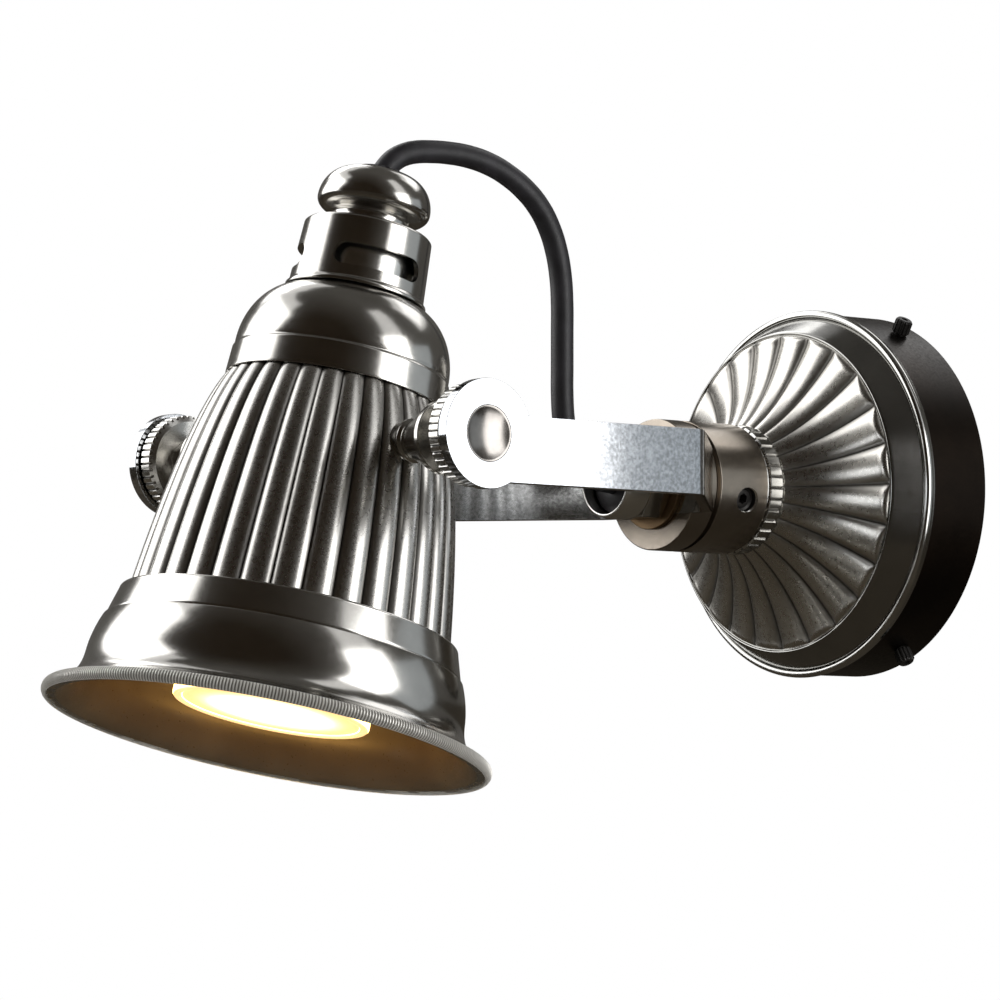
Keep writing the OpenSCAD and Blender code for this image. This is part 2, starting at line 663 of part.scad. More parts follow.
module finial() {
    bead_r = finial_neck_r + 1.4;
    neck = [finial_neck_r, vent_top + 1.2];
    roll = [finial_r - finial_roll[0], finial_belly];
    crown = [finial_top_r, finial_belly];
    color("gray") in_head() difference() {
        rotate_extrude() polygon(concat([[0, vent_top], [bead_r, vent_top], [bead_r, vent_top + 0.8]],
            bow(neck, neck + [-0.6, 2.4], roll - [0, finial_roll[1]], 5),
            oval(roll, finial_roll[0], finial_roll[1], -70, -10, 5),
            oval(crown, finial_r - finial_top_r, finial_top - finial_belly, 0, 90, 10), [[0, finial_top]]));
        translate([0, 0, vent_top - 1]) cylinder(r = tube_r + fit, h = tube_top - vent_top + 1);
        translate([0, 0, tube_top - 1]) cylinder(r = bush_r + fit, h = finial_top - tube_top + 2);
    }
}
module cable_bush() {
    color("black") in_head() difference() {
        union() {
            translate([0, 0, tube_top]) cylinder(r = bush_r, h = finial_top - tube_top);
            translate([0, 0, finial_top]) cylinder(r = bush_lip_r, h = bush_lip_h);
        }
        translate([0, 0, tube_top - 1]) cylinder(r = cable_r + fit, h = 4);
        translate([0, 0, tube_top + 2])
            cylinder(r1 = cable_r + fit, r2 = bush_r - 0.6, h = finial_top - tube_top);
    }
}

// Head inside: the tie tube clamps the finial, vent collar and dome on the spider plate
module tie_tube() { color("goldenrod") in_head() tube(tube_r, tube_bore, tube_top - tube_foot, tube_foot); }
module tie_nut() {
    color("silver") in_head() translate([0, 0, body_top - tie_nut_h]) difference() {
        hex(tie_nut_af, tie_nut_h);
        translate([0, 0, -1]) cylinder(r = tube_r + fit, h = tie_nut_h + 2);
    }
}
module spider_plate() {
    color("silver") in_head() difference() {
        tube(dome_r - head_t - 0.4, tube_r + fit, spider_t, body_top);
        for (a = [45 : 90 : 315]) rotate([0, 0, a]) translate([spider_ring_r, 0, body_top - 1])
            cylinder(r = spider_hole_r, h = spider_t + 2);
    }
}
module holder_studs() {
    color("silver") in_head() for (x = [-stud_x, stud_x])
        translate([x, 0, holder_top]) cylinder(r = stud_r, h = body_top - holder_top);
}
module lamp_holder() {
    color("ivory") in_head() difference() {
        translate([0, 0, holder_foot]) cylinder(r = holder_r, h = holder_h);
        translate([0, 0, holder_foot - 1]) cylinder(r = lamp_neck_r + fit, h = neck_deep + 1);
    }
}
module lamp() {
    neck = [lamp_neck_r, lamp_top - neck_deep - 6];
    flare = [lamp_r - 8, mix(lamp_face, neck[1], 0.75)];
    color("white") in_head() difference() {
        rotate_extrude() polygon(concat([[0, lamp_face], [lamp_r, lamp_face], [lamp_r, lamp_face + 4.5]],
            bow([lamp_r - 1.4, lamp_face + 7], flare, neck, 6), [[lamp_neck_r, lamp_top], [0, lamp_top]]));
        translate([0, 0, lamp_face - 1]) cylinder(r = lamp_glass_r + fit, h = lamp_glass_t + 1.2);
    }
}
module lamp_glass() {
    color("lightyellow") in_head() translate([0, 0, lamp_face + 0.2])
        cylinder(r = lamp_glass_r, h = lamp_glass_t);
}
module lamp_leads() {
    color("black") in_head() for (x = [-lead_x, lead_x])
        translate([x, 0, holder_top]) cylinder(r = lead_r, h = tube_top - holder_top - 0.5);
}

// Cable: a round tube along its route, in the middle plane between the arms
module cable() {
    last = len(cable_route) - 1;
    points = [for (k = [0 : last], i = [0 : cable_sides - 1])
        let (ahead = cable_route[min(k + 1, last)] - cable_route[max(k - 1, 0)],
            way = ahead / norm(ahead), ring = polar(cable_r, 360 * i / cable_sides),
            p = cable_route[k] + [-way[1], way[0]] * ring[1])
        [ring[0], -p[0], p[1]]];
    sides = [for (k = [0 : last - 1], i = [0 : cable_sides - 1])
        let (a = k * cable_sides + i, b = k * cable_sides + (i + 1) % cable_sides)
        each [[a, b, b + cable_sides], [a, b + cable_sides, a + cable_sides]]];
    color("black") polyhedron(points, concat(sides, [[for (i = [cable_sides - 1 : -1 : 0]) i]],
        [[for (i = [0 : cable_sides - 1]) last * cable_sides + i]]));
}

wall_plate();
canopy_cup();
canopy_rim();
canopy_rose();
side_screws();
terminal_block();
supply_lead();
rear_locknut();
hub_knurled_ring();
hub_collar();
hub_grub_screw();
hub_front();
nipple();
nipple_washer();
nipple_nut();
gland_cap();
gland_seal();
yoke();
pivot_bolt(1);  // near_pivot_bolt
pivot_bolt(-1);  // far_pivot_bolt
friction_washer(1);  // near_friction_washer
friction_washer(-1);  // far_friction_washer
knob(1);  // near_knob
knob(-1);  // far_knob
boss(1);  // near_boss
boss(-1);  // far_boss
pivot_nuts();
fluted_body();
collar_band();
bell();
bell_rim();
lamp_bezel();
dome_cap();
vent_collar();
inner_sleeve();
finial();
tie_tube();
tie_nut();
spider_plate();
holder_studs();
lamp_holder();
lamp();
lamp_glass();
lamp_leads();
cable_bush();
cable();
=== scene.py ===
"""Wall spotlight in aged nickel: a fluted bell head in a strap yoke, on a round fluted canopy."""

import math

import bmesh
import bpy
from mathutils import Matrix, Vector
from mathutils.geometry import interpolate_bezier


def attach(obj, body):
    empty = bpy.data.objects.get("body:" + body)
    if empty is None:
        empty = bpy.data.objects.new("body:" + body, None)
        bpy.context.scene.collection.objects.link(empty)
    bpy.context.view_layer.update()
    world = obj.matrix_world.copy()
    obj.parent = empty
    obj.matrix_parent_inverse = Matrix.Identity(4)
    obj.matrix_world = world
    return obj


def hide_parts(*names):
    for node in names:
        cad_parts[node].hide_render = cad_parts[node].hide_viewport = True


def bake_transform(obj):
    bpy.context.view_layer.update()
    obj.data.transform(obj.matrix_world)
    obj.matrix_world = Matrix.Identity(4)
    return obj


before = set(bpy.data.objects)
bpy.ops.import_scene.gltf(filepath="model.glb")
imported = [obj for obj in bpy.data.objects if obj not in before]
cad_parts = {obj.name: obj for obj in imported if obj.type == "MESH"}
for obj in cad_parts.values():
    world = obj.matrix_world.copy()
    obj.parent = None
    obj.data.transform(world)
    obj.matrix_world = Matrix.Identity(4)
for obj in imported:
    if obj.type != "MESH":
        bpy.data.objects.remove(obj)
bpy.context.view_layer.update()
bpy.context.scene.view_settings.view_transform = "Standard"

# Camera: a long lens over a metre off, to the light's right and a little under it. It is aimed left
# of the hub, so that the head fills the left of the picture and the canopy its right.
MM = 0.001
hub_face = Vector((0, -75 * MM, 0))
azimuth = math.radians(49)
elevation = math.radians(-4.28)
camera_distance = 1.398
aim_left = 40.7 * MM
aim_down = 4.0 * MM
camera_back = Vector(
    (
        math.sin(azimuth) * math.cos(elevation),
        -math.cos(azimuth) * math.cos(elevation),
        math.sin(elevation),
    )
)
camera_right = Vector((math.cos(azimuth), math.sin(azimuth), 0))
camera_up = camera_back.cross(camera_right)
camera = bpy.data.objects.new("camera", bpy.data.cameras.new("camera"))
camera.data.lens = 189.4
camera.data.sensor_width = 36
camera.location = hub_face + camera_back * camera_distance
aim = hub_face - camera_right * aim_left - camera_up * aim_down
camera.rotation_euler = (aim - camera.location).to_track_quat("-Z", "Y").to_euler()
bpy.context.scene.collection.objects.link(camera)
bpy.context.scene.camera = camera

# Studio: a pale floor under a white surround, soft lamps at both sides and behind, and a felt tent
# with windows, darkest in front. Only reflections show the tent, so the polished metal has crisp
# bright bands between dark ones.
studio_middle = Vector((0, -0.15, 0))
floor_drop = 0.3
floor_r = 1.5
tent_r = 1.4
tent_step = 5
tent_lift = 0.005
tent_foot_top = -0.05
surround = 0.35
tent_windows = [(-80, -25, 0, 60), (-125, -80, 32, 65), (100, 125, -20, 60), (160, 210, 30, 55)]


def new_object(name, bm):
    mesh = bpy.data.meshes.new(name)
    bm.to_mesh(mesh)
    bm.free()
    made = bpy.data.objects.new(name, mesh)
    bpy.context.scene.collection.objects.link(made)
    return made


def new_material(name):
    material = bpy.data.materials.new(name)
    material.use_nodes = True
    nodes = material.node_tree.nodes
    return material, nodes, material.node_tree.links, nodes["Principled BSDF"]


def facing(degrees, rise=0.0):
    turn = math.radians(degrees)
    lift = math.radians(rise)
    return Vector(
        (math.sin(turn) * math.cos(lift), -math.cos(turn) * math.cos(lift), math.sin(lift))
    )


def softbox(name, degrees, rise, far, wide, high, radiance, tint=(1, 1, 1)):
    lamp = bpy.data.lights.new(name, "AREA")
    lamp.shape = "RECTANGLE"
    lamp.size = wide
    lamp.size_y = high
    lamp.energy = radiance * wide * high * math.pi
    lamp.color = tint
    made = bpy.data.objects.new(name, lamp)
    made.location = studio_middle + facing(degrees, rise) * far
    made.rotation_euler = (studio_middle - made.location).to_track_quat("-Z", "Y").to_euler()
    made.visible_camera = False
    bpy.context.scene.collection.objects.link(made)


def plainly_seen(nodes, links):
    """1 for rays from the camera, and for those that metal or glass sends on."""
    light_path = nodes.new("ShaderNodeLightPath")
    seen = light_path.outputs["Is Camera Ray"]
    for ray in ("Is Glossy Ray", "Is Transmission Ray"):
        either = nodes.new("ShaderNodeMath")
        either.operation = "MAXIMUM"
        links.new(seen, either.inputs[0])
        links.new(light_path.outputs[ray], either.inputs[1])
        seen = either.outputs[0]
    return seen


floor_mesh = bmesh.new()
bmesh.ops.create_circle(floor_mesh, cap_ends=True, segments=64, radius=floor_r)
bmesh.ops.translate(
    floor_mesh, verts=floor_mesh.verts, vec=studio_middle - Vector((0, 0, floor_drop))
)
floor = new_object("floor", floor_mesh)
floor_paint, nodes, links, shader = new_material("floor_paint")
shader.inputs["Base Color"].default_value = (0.8, 0.8, 0.79, 1)
shader.inputs["Roughness"].default_value = 0.7
shader.inputs["Emission Color"].default_value = (0.38, 0.38, 0.375, 1)
links.new(plainly_seen(nodes, links), shader.inputs["Emission Strength"])
floor.data.materials.append(floor_paint)


def felt_cloth(name):
    material, nodes, links, shader = new_material(name)
    shader.inputs["Roughness"].default_value = 1
    shader.inputs["Specular IOR Level"].default_value = 0
    return material, nodes, links, shader


felt, nodes, links, shader = felt_cloth("felt")
dark_side = nodes.new("ShaderNodeVectorMath")
dark_side.operation = "DOT_PRODUCT"
dark_side.inputs[1].default_value = facing(22, 6) / tent_r
shade = nodes.new("ShaderNodeValToRGB")
shade.color_ramp.elements[0].position = 0.1
shade.color_ramp.elements[0].color = (0.20, 0.19, 0.175, 1)
shade.color_ramp.elements[1].position = 0.75
shade.color_ramp.elements[1].color = (0.045, 0.033, 0.022, 1)
links.new(nodes.new("ShaderNodeTexCoord").outputs["Object"], dark_side.inputs[0])
links.new(dark_side.outputs["Value"], shade.inputs["Fac"])
links.new(shade.outputs["Color"], shader.inputs["Base Color"])
foot_felt, nodes, links, shader = felt_cloth("foot_felt")
shader.inputs["Base Color"].default_value = (0.08, 0.068, 0.052, 1)
tent_mesh = bmesh.new()
bmesh.ops.create_uvsphere(
    tent_mesh, u_segments=360 // tent_step, v_segments=180 // tent_step, radius=tent_r
)
bmesh.ops.bisect_plane(
    tent_mesh,
    geom=tent_mesh.verts[:] + tent_mesh.edges[:] + tent_mesh.faces[:],
    plane_co=(0, 0, tent_lift - floor_drop),
    plane_no=(0, 0, -1),
    clear_outer=True,
)
bmesh.ops.holes_fill(tent_mesh, edges=[e for e in tent_mesh.edges if len(e.link_faces) == 1])
open_faces = []
for face in tent_mesh.faces:
    x, y, z = face.calc_center_median()
    turn = math.degrees(math.atan2(x, -y))
    lift = math.degrees(math.atan2(z, math.hypot(x, y)))
    if any(a < (turn - a) % 360 + a < b and low < lift < high for a, b, low, high in tent_windows):
        open_faces.append(face)
bmesh.ops.delete(tent_mesh, geom=open_faces, context="FACES")
tent = new_object("tent", tent_mesh)
tent.location = studio_middle
tent.data.materials.append(felt)
tent.data.materials.append(foot_felt)
for face in tent.data.polygons:
    if face.center.z < tent_foot_top:
        face.material_index = 1
tent.visible_camera = False
tent.visible_shadow = False
tent.visible_diffuse = False

world = bpy.data.worlds.new("surround")
bpy.context.scene.world = world
world.use_nodes = True
nodes, links = world.node_tree.nodes, world.node_tree.links
white = nodes.new("ShaderNodeBackground")
white.inputs["Color"].default_value = (1, 1, 1, 1)
white.inputs["Strength"].default_value = 1
soft = nodes["Background"]
soft.inputs["Color"].default_value = (1, 1, 1, 1)
soft.inputs["Strength"].default_value = surround
mix = nodes.new("ShaderNodeMixShader")
links.new(plainly_seen(nodes, links), mix.inputs[0])
links.new(soft.outputs[0], mix.inputs[1])
links.new(white.outputs[0], mix.inputs[2])
links.new(mix.outputs[0], nodes["World Output"].inputs["Surface"])

softbox("right_softbox", 110.5, 4.5, 0.507, 0.281, 0.45, 3.2)
softbox("arm_panel", 143, 4.5, 0.55, 0.32, 0.3, 0.45, (0.84, 0.93, 1.0))
softbox("left_softbox", -53, 25, 1.0, 0.95, 0.95, 2.0)
softbox("upper_softbox", -108, 42, 1.0, 0.5, 0.35, 2.5)
softbox("rear_softbox", 185, 42, 1.1, 0.6, 0.3, 1.1)

# Cable: 6 mm round rubber flex. It leaves the gland on the hub, stands up in a loose arch and goes
# down into the finial, so the whole of its length shows.
cable_d = 6 * MM
cable_route = [
    (86, 0), (90, 0), (94, 0.5), (98, 2.2), (102, 5.6), (104.8, 10.2), (106, 15.5), (106.5, 22),
    (106.5, 30), (106.5, 38), (106.5, 46), (107, 53), (108.5, 60), (111, 66), (114.5, 71),
    (119, 75), (125, 78.5), (131, 80.8), (138, 82.2), (145, 82.6), (151, 82.4), (155.6, 81.9),
    (159.1, 81), (162.1, 79.6), (164.6, 77.6), (166.6, 75.1), (168.1, 72.1), (168.6, 69.1),
    (169.1, 67.1),
]
cable_line = bpy.data.curves.new("cable_line", "CURVE")
cable_line.dimensions = "3D"
cable_line.bevel_depth = cable_d / 2
cable_line.bevel_resolution = 8
cable_line.resolution_u = 8
cable_line.use_fill_caps = True
spline = cable_line.splines.new("BEZIER")
spline.bezier_points.add(len(cable_route) - 1)
for point, (out, height) in zip(spline.bezier_points, cable_route):
    point.co = (0, -out * MM, height * MM)
    point.handle_left_type = "AUTO"
    point.handle_right_type = "AUTO"
cable_curve = bpy.data.objects.new("cable_curve", cable_line)
bpy.context.scene.collection.objects.link(cable_curve)
bpy.context.view_layer.update()
cable_path = []
for near, far in zip(spline.bezier_points[:-1], spline.bezier_points[1:]):
    cable_path += interpolate_bezier(near.co, near.handle_right, far.handle_left, far.co, 8)[:-1]
cable_path.append(spline.bezier_points[-1].co.copy())
depsgraph = bpy.context.evaluated_depsgraph_get()
cable_mesh = bpy.data.meshes.new_from_object(cable_curve.evaluated_get(depsgraph))
cable_mesh.name = "cable_flex"
bpy.data.objects.remove(cable_curve)
cable_tidy = bmesh.new()
cable_tidy.from_mesh(cable_mesh)
bmesh.ops.remove_doubles(cable_tidy, verts=cable_tidy.verts, dist=1e-6)
bmesh.ops.recalc_face_normals(cable_tidy, faces=cable_tidy.faces)
cable = new_object("cable_flex", cable_tidy)
cable.data.polygons.foreach_set("use_smooth", [True] * len(cable.data.polygons))
bpy.data.meshes.remove(cable_mesh)


def noise(nodes, links, scale, detail=3.0):
    coordinates = nodes.new("ShaderNodeTexCoord")
    texture = nodes.new("ShaderNodeTexNoise")
    texture.inputs["Scale"].default_value = scale
    texture.inputs["Detail"].default_value = detail
    links.new(coordinates.outputs["Object"], texture.inputs["Vector"])
    return texture.outputs["Fac"]


def ramp(nodes, links, source, low, high, from_at=0.35, to_at=0.65):
    node = nodes.new("ShaderNodeValToRGB")
    node.color_ramp.elements[0].position = from_at
    node.color_ramp.elements[1].position = to_at
    node.color_ramp.elements[0].color = (*low, 1)
    node.color_ramp.elements[1].color = (*high, 1)
    links.new(source, node.inputs["Fac"])
    return node.outputs["Color"]


def spread(nodes, links, source, low, high):
    node = nodes.new("ShaderNodeMapRange")
    node.inputs["From Min"].default_value = 0.3
    node.inputs["From Max"].default_value = 0.7
    node.inputs["To Min"].default_value = low
    node.inputs["To Max"].default_value = high
    links.new(source, node.inputs["Value"])
    return node.outputs["Result"]


def bump(nodes, links, source, strength, depth, shader):
    node = nodes.new("ShaderNodeBump")
    node.inputs["Strength"].default_value = strength
    node.inputs["Distance"].default_value = depth
    links.new(source, node.inputs["Height"])
    links.new(node.outputs["Normal"], shader.inputs["Normal"])


def rubber(name, dark, light):
    material, nodes, links, shader = new_material(name)
    bloom = ramp(nodes, links, noise(nodes, links, 160), dark, light)
    links.new(bloom, shader.inputs["Base Color"])
    grain = noise(nodes, links, 2600, 2)
    links.new(spread(nodes, links, grain, 0.42, 0.58), shader.inputs["Roughness"])
    bump(nodes, links, grain, 0.12, 0.05 * MM, shader)
    return material


black_rubber = rubber("black_rubber", (0.010, 0.009, 0.011), (0.020, 0.018, 0.022))
cable.data.materials.append(black_rubber)
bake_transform(cable)
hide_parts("cable")

# Wall fixing: a zinc plated steel plate with tabs for the side screws, the hub's locknut, a
# steatite terminal block and the supply lead, all behind the canopy.


def plated(name, tone, tarnish, rough, cloud, mottle=0.86, metal=1.0):
    """A plated finish: a cloudy tone, tarnish where the recess is high, and a rippled polish."""
    polish_scale, ripple_scale, tarnish_rough = 900, 220, 0.25
    material, nodes, links, shader = new_material(name)
    shader.inputs["Metallic"].default_value = metal
    veil = ramp(nodes, links, noise(nodes, links, 1 / cloud, 5), [mottle * c for c in tone], tone)
    recess = nodes.new("ShaderNodeAttribute")
    recess.attribute_name = "recess"
    aged = nodes.new("ShaderNodeMix")
    aged.data_type = "RGBA"
    aged.inputs["B"].default_value = (*tarnish, 1)
    links.new(recess.outputs["Fac"], aged.inputs["Factor"])
    links.new(veil, aged.inputs["A"])
    links.new(aged.outputs["Result"], shader.inputs["Base Color"])
    fine = noise(nodes, links, polish_scale, 4)
    polish = spread(nodes, links, fine, 0.9 * rough, 1.12 * rough)
    dulled = nodes.new("ShaderNodeMath")
    dulled.operation = "MULTIPLY_ADD"
    dulled.inputs[1].default_value = tarnish_rough
    links.new(recess.outputs["Fac"], dulled.inputs[0])
    links.new(polish, dulled.inputs[2])
    links.new(dulled.outputs[0], shader.inputs["Roughness"])
    bump(nodes, links, noise(nodes, links, ripple_scale, 2), 0.4, 0.03 * MM, shader)
    return material


def dress(node, material):
    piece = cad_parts[node]
    piece.data.materials.clear()
    piece.data.materials.append(material)


zinc = plated("zinc_steel", (0.56, 0.57, 0.58), (0.2, 0.19, 0.17), 0.34, 6 * MM)
steatite, nodes, links, shader = new_material("steatite")
links.new(
    ramp(nodes, links, noise(nodes, links, 300), (0.70, 0.67, 0.60), (0.80, 0.78, 0.72)),
    shader.inputs["Base Color"],
)
shader.inputs["Roughness"].default_value = 0.4
for node in ("wall_plate", "rear_locknut"):
    dress(node, zinc)
dress("terminal_block", steatite)
dress("supply_lead", black_rubber)

# Canopy cup: spun sheet in a smooth brown-black bronze finish, with a shoulder for the rim ring. A
# nickel moulding slopes up from the shoulder to the rose.
canopy_r = 49.2
canopy_depth = 19.0
shoulder_r = 48.0
rim_d = 22.0
rose_d = 28.8
rose_r = 42.6
rose_seat_r = 36.6
sheet = 1.2
OUT = Matrix.Rotation(math.radians(90), 4, "X")


def bow(a, b, c, steps):
    line = []
    for k in range(steps + 1):
        t = k / steps
        line.append(
            tuple((1 - t) ** 2 * p + 2 * t * (1 - t) * q + t * t * r for p, q, r in zip(a, b, c))
        )
    return line


def oval(centre, rx, ry, start, stop, steps):
    turns = [math.radians(start + (stop - start) * k / steps) for k in range(steps + 1)]
    return [(centre[0] + rx * math.cos(t), centre[1] + ry * math.sin(t)) for t in turns]


def turned(outline, steps=160, round_edges=0.25):
    """A turned solid round local Z, from an outline of radii and heights in millimetres."""
    bm = bmesh.new()
    ring = [bm.verts.new((r * MM, 0, h * MM)) for r, h in outline]
    pairs = list(zip(ring[:-1], ring[1:]))
    if outline[0][0] > 0 or outline[-1][0] > 0:
        pairs.append((ring[-1], ring[0]))
    edges = [bm.edges.new(pair) for pair in pairs]
    bmesh.ops.spin(
        bm,
        geom=ring + edges,
        cent=(0, 0, 0),
        axis=(0, 0, 1),
        angle=2 * math.pi,
        steps=steps,
        use_merge=True,
    )
    bmesh.ops.remove_doubles(bm, verts=bm.verts, dist=1e-7)
    bmesh.ops.recalc_face_normals(bm, faces=bm.faces)
    if round_edges:
        sharp = 0.45
        corners = [e for e in bm.edges if len(e.link_faces) == 2 and e.calc_face_angle() > sharp]
        bmesh.ops.bevel(
            bm,
            geom=corners,
            offset=round_edges * MM,
            offset_type="OFFSET",
            segments=3,
            profile=0.5,
            affect="EDGES",
            material=-1,
            clamp_overlap=True,
        )
    return bm


def finish_piece(name, bm, place, material, body, nodes, crease=0.6):
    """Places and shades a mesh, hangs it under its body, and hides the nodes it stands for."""
    bmesh.ops.transform(bm, matrix=place, verts=bm.verts)
    for edge in bm.edges:
        edge.smooth = len(edge.link_faces) == 2 and edge.calc_face_angle() < crease
    for face in bm.faces:
        face.smooth = True
    piece = new_object(name, bm)
    piece.data.materials.append(material)
    even = piece.modifiers.new("even_shading", "WEIGHTED_NORMAL")
    even.keep_sharp = True
    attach(piece, body)
    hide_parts(*nodes)
    return piece


def dark_finish(name, dark, light, rough, metal=0.6):
    material, nodes, links, shader = new_material(name)
    shader.inputs["Metallic"].default_value = metal
    patches = ramp(nodes, links, noise(nodes, links, 45, 4), dark, light)
    links.new(patches, shader.inputs["Base Color"])
    fine = noise(nodes, links, 1400, 3)
    links.new(spread(nodes, links, fine, 0.85 * rough, 1.2 * rough), shader.inputs["Roughness"])
    bump(nodes, links, fine, 0.08, 0.02 * MM, shader)
    return material


dark_bronze = dark_finish("dark_bronze", (0.008, 0.005, 0.003), (0.016, 0.010, 0.006), 0.36, 0.9)
cup_outline = (
    [(canopy_r, 0), (canopy_r, canopy_depth), (shoulder_r, canopy_depth)]
    + bow((shoulder_r, rim_d - 0.6), (shoulder_r - 2.1, rim_d + 3.1), (rose_r + 1.2, rose_d), 16)
    + [(rose_r + 0.9, rose_d + 0.4), (rose_r + 0.4, rose_d + 0.4), (rose_r + 0.3, rose_d)]
    + [(rose_seat_r, rose_d), (rose_seat_r, rose_d - sheet)]
    + bow(
        (rose_r - 0.6, rose_d - sheet),
        (shoulder_r - 2.3, rim_d + 2.6),
        (shoulder_r - sheet, rim_d - 0.6),
        8,
    )
    + [(shoulder_r - sheet, canopy_depth - sheet), (canopy_r - sheet, canopy_depth - sheet)]
    + [(canopy_r - sheet, 0)]
)
cup = finish_piece(
    "canopy_shell",
    turned(cup_outline, 192),
    OUT,
    dark_bronze,
    "wall_base",
    ["canopy_cup"],
)
moulding = plated("moulding_nickel", (0.32, 0.315, 0.30), (0.03, 0.025, 0.02), 0.15, 10 * MM)
cup.data.materials.append(moulding)
for face in cup.data.polygons:
    if face.center.y < -canopy_depth * MM - 1e-5:
        face.material_index = 1

# Rim ring: a ring rolled from strip and polished, nickel plated. It is pressed over the canopy's
# shoulder and hides the edge of the bronze finish.
play = 0.05
rim_out = 50.0
rim_in = shoulder_r + play
rim_outline = (
    [(rim_in, canopy_depth), (rim_out - 0.4, canopy_depth)]
    + oval((rim_out - 0.9, rim_d - 1.2), 0.9, 1.2, -40, 90, 10)
    + oval((rim_in + 0.7, rim_d - 0.7), 0.7, 0.7, 90, 180, 8)
)
rim_nickel = plated("rim_nickel", (0.50, 0.495, 0.475), (0.05, 0.042, 0.034), 0.16, 8 * MM)
finish_piece(
    "rim_ring",
    turned(rim_outline, 192),
    OUT,
    rim_nickel,
    "wall_base",
    ["canopy_rim"],
)

# Rose: a cast and plated flower of 24 petals, trumpet shaped, with dark sharp valleys and rolled
# ends that stand on the moulding.
petals = 24
petal_columns = 12
petal_deep = 1.6
rose_top_r = 17.0
rose_top_d = 43.6
rose_bore = 9.65


def lobe(angle, count):
    """Height of a rounded lobe, 1 on its crest and 0 in the sharp valley beside it."""
    s = 2 * ((angle * count / (2 * math.pi)) % 1.0) - 1
    fullness = 0.8
    flat = math.sqrt(1 - fullness)
    return (math.sqrt(1 - fullness * s * s) - flat) / (1 - flat)


def flute(bm, count, line, sink):
    """Sinks sharp valleys between count lobes in a line's rows, and keeps their depth as recess.

    sink gives a row's depth inwards and down, from its radius and height.
    """
    layer = bm.verts.layers.float.new("recess")
    for vert in bm.verts:
        radius, height = vert.co.xy.length / MM, vert.co.z / MM
        if not any(abs(radius - r) < 0.02 and abs(height - h) < 0.02 for r, h in line):
            continue
        inwards, down = sink(radius, height)
        sunk = 1 - lobe(math.atan2(vert.co.y, vert.co.x), count)
        vert.co.xy *= (radius - inwards * sunk) / radius
        vert.co.z -= down * sunk * MM
        vert[layer] = sunk**3 * min(1.0, (inwards + down) / 0.8)


def petal_sink(radius, height):
    """A valley beside a petal runs inwards at the neck, and down to the moulding at the end."""
    share = (radius - rose_top_r) / (rose_r - rose_top_r)
    room = max(0.0, height - rose_d - 0.1)
    return 0.4 * petal_deep * (1 - share), min(petal_deep * share, room)


rose_nickel = plated("rose_nickel", (0.60, 0.58, 0.54), (0.02, 0.016, 0.012), 0.28, 9 * MM)
petal_roll = (2.0, 1.7)
rose_rise = bow(
    (rose_r - petal_roll[0], rose_d + petal_roll[1]), (24.2, 34.7), (rose_top_r, rose_top_d), 40
)
rose_face = oval((rose_r - petal_roll[0], rose_d), *petal_roll, 0, 90, 8) + rose_rise[1:]
rose_outline = (
    [(rose_seat_r, rose_d)]
    + rose_face
    + [(rose_bore, rose_top_d), (rose_bore, rose_top_d - 2)]
    + bow((rose_top_r - 2.4, rose_top_d - 2), (22.2, 31.7), (rose_seat_r, rose_d + 0.01), 12)[:-1]
)
rose_mesh = turned(rose_outline, petals * petal_columns, 0)
flute(rose_mesh, petals, rose_face, petal_sink)
finish_piece(
    "rose", rose_mesh, OUT, rose_nickel, "wall_base", ["canopy_rose"], crease=1.2
)

# Side screws: three thumb screws of blackened steel, turned with a knurled head. They hold the
# canopy, through its side into the plate's tabs.
side_screw_d = 8.0
side_angles = (60, 180, 300)
black_steel = dark_finish("black_steel", (0.010, 0.009, 0.008), (0.028, 0.026, 0.024), 0.4)


def knurled(outline, teeth, deep, land=2, columns=4):
    """A turned solid whose widest radius is cut into teeth, land columns wide out of columns."""
    steps = teeth * columns
    widest = max(r for r, h in outline) * MM
    bm = turned(outline, steps, 0)
    layer = bm.verts.layers.float.new("recess")
    for vert in bm.verts:
        column = round(math.atan2(vert.co.y, vert.co.x) / (2 * math.pi) * steps) % columns
        if vert.co.xy.length > widest - 1e-6 and column >= land:
            vert.co.xy *= (widest - deep * MM) / widest
            vert[layer] = 0.8
    return bm


def add_mesh(bm, part, place):
    """Adds a placed part to a mesh."""
    bmesh.ops.transform(part, matrix=place, verts=part.verts)
    passing = bpy.data.meshes.new("passing")
    part.to_mesh(passing)
    part.free()
    bm.from_mesh(passing)
    bpy.data.meshes.remove(passing)


ALONG_X = Matrix.Rotation(math.radians(90), 4, "Y")
screw_outline = [(0, 42), (1.5, 42), (1.5, 49.5), (2.0, 49.5), (2.4, 50), (2.4, 53), (1.9, 53.6)]
screw_outline += [(0.9, 53.6), (0.8, 52.6), (0, 52.6)]
screw_mesh = bmesh.new()
for angle in side_angles:
    turn = Matrix.Rotation(math.radians(-angle), 4, "Y") @ ALONG_X
    place = Matrix.Translation((0, -side_screw_d * MM, 0)) @ turn
    add_mesh(screw_mesh, knurled(screw_outline, 14, 0.32), place)
finish_piece(
    "side_screw_set", screw_mesh, Matrix(), black_steel, "wall_base", ["side_screws"]
)

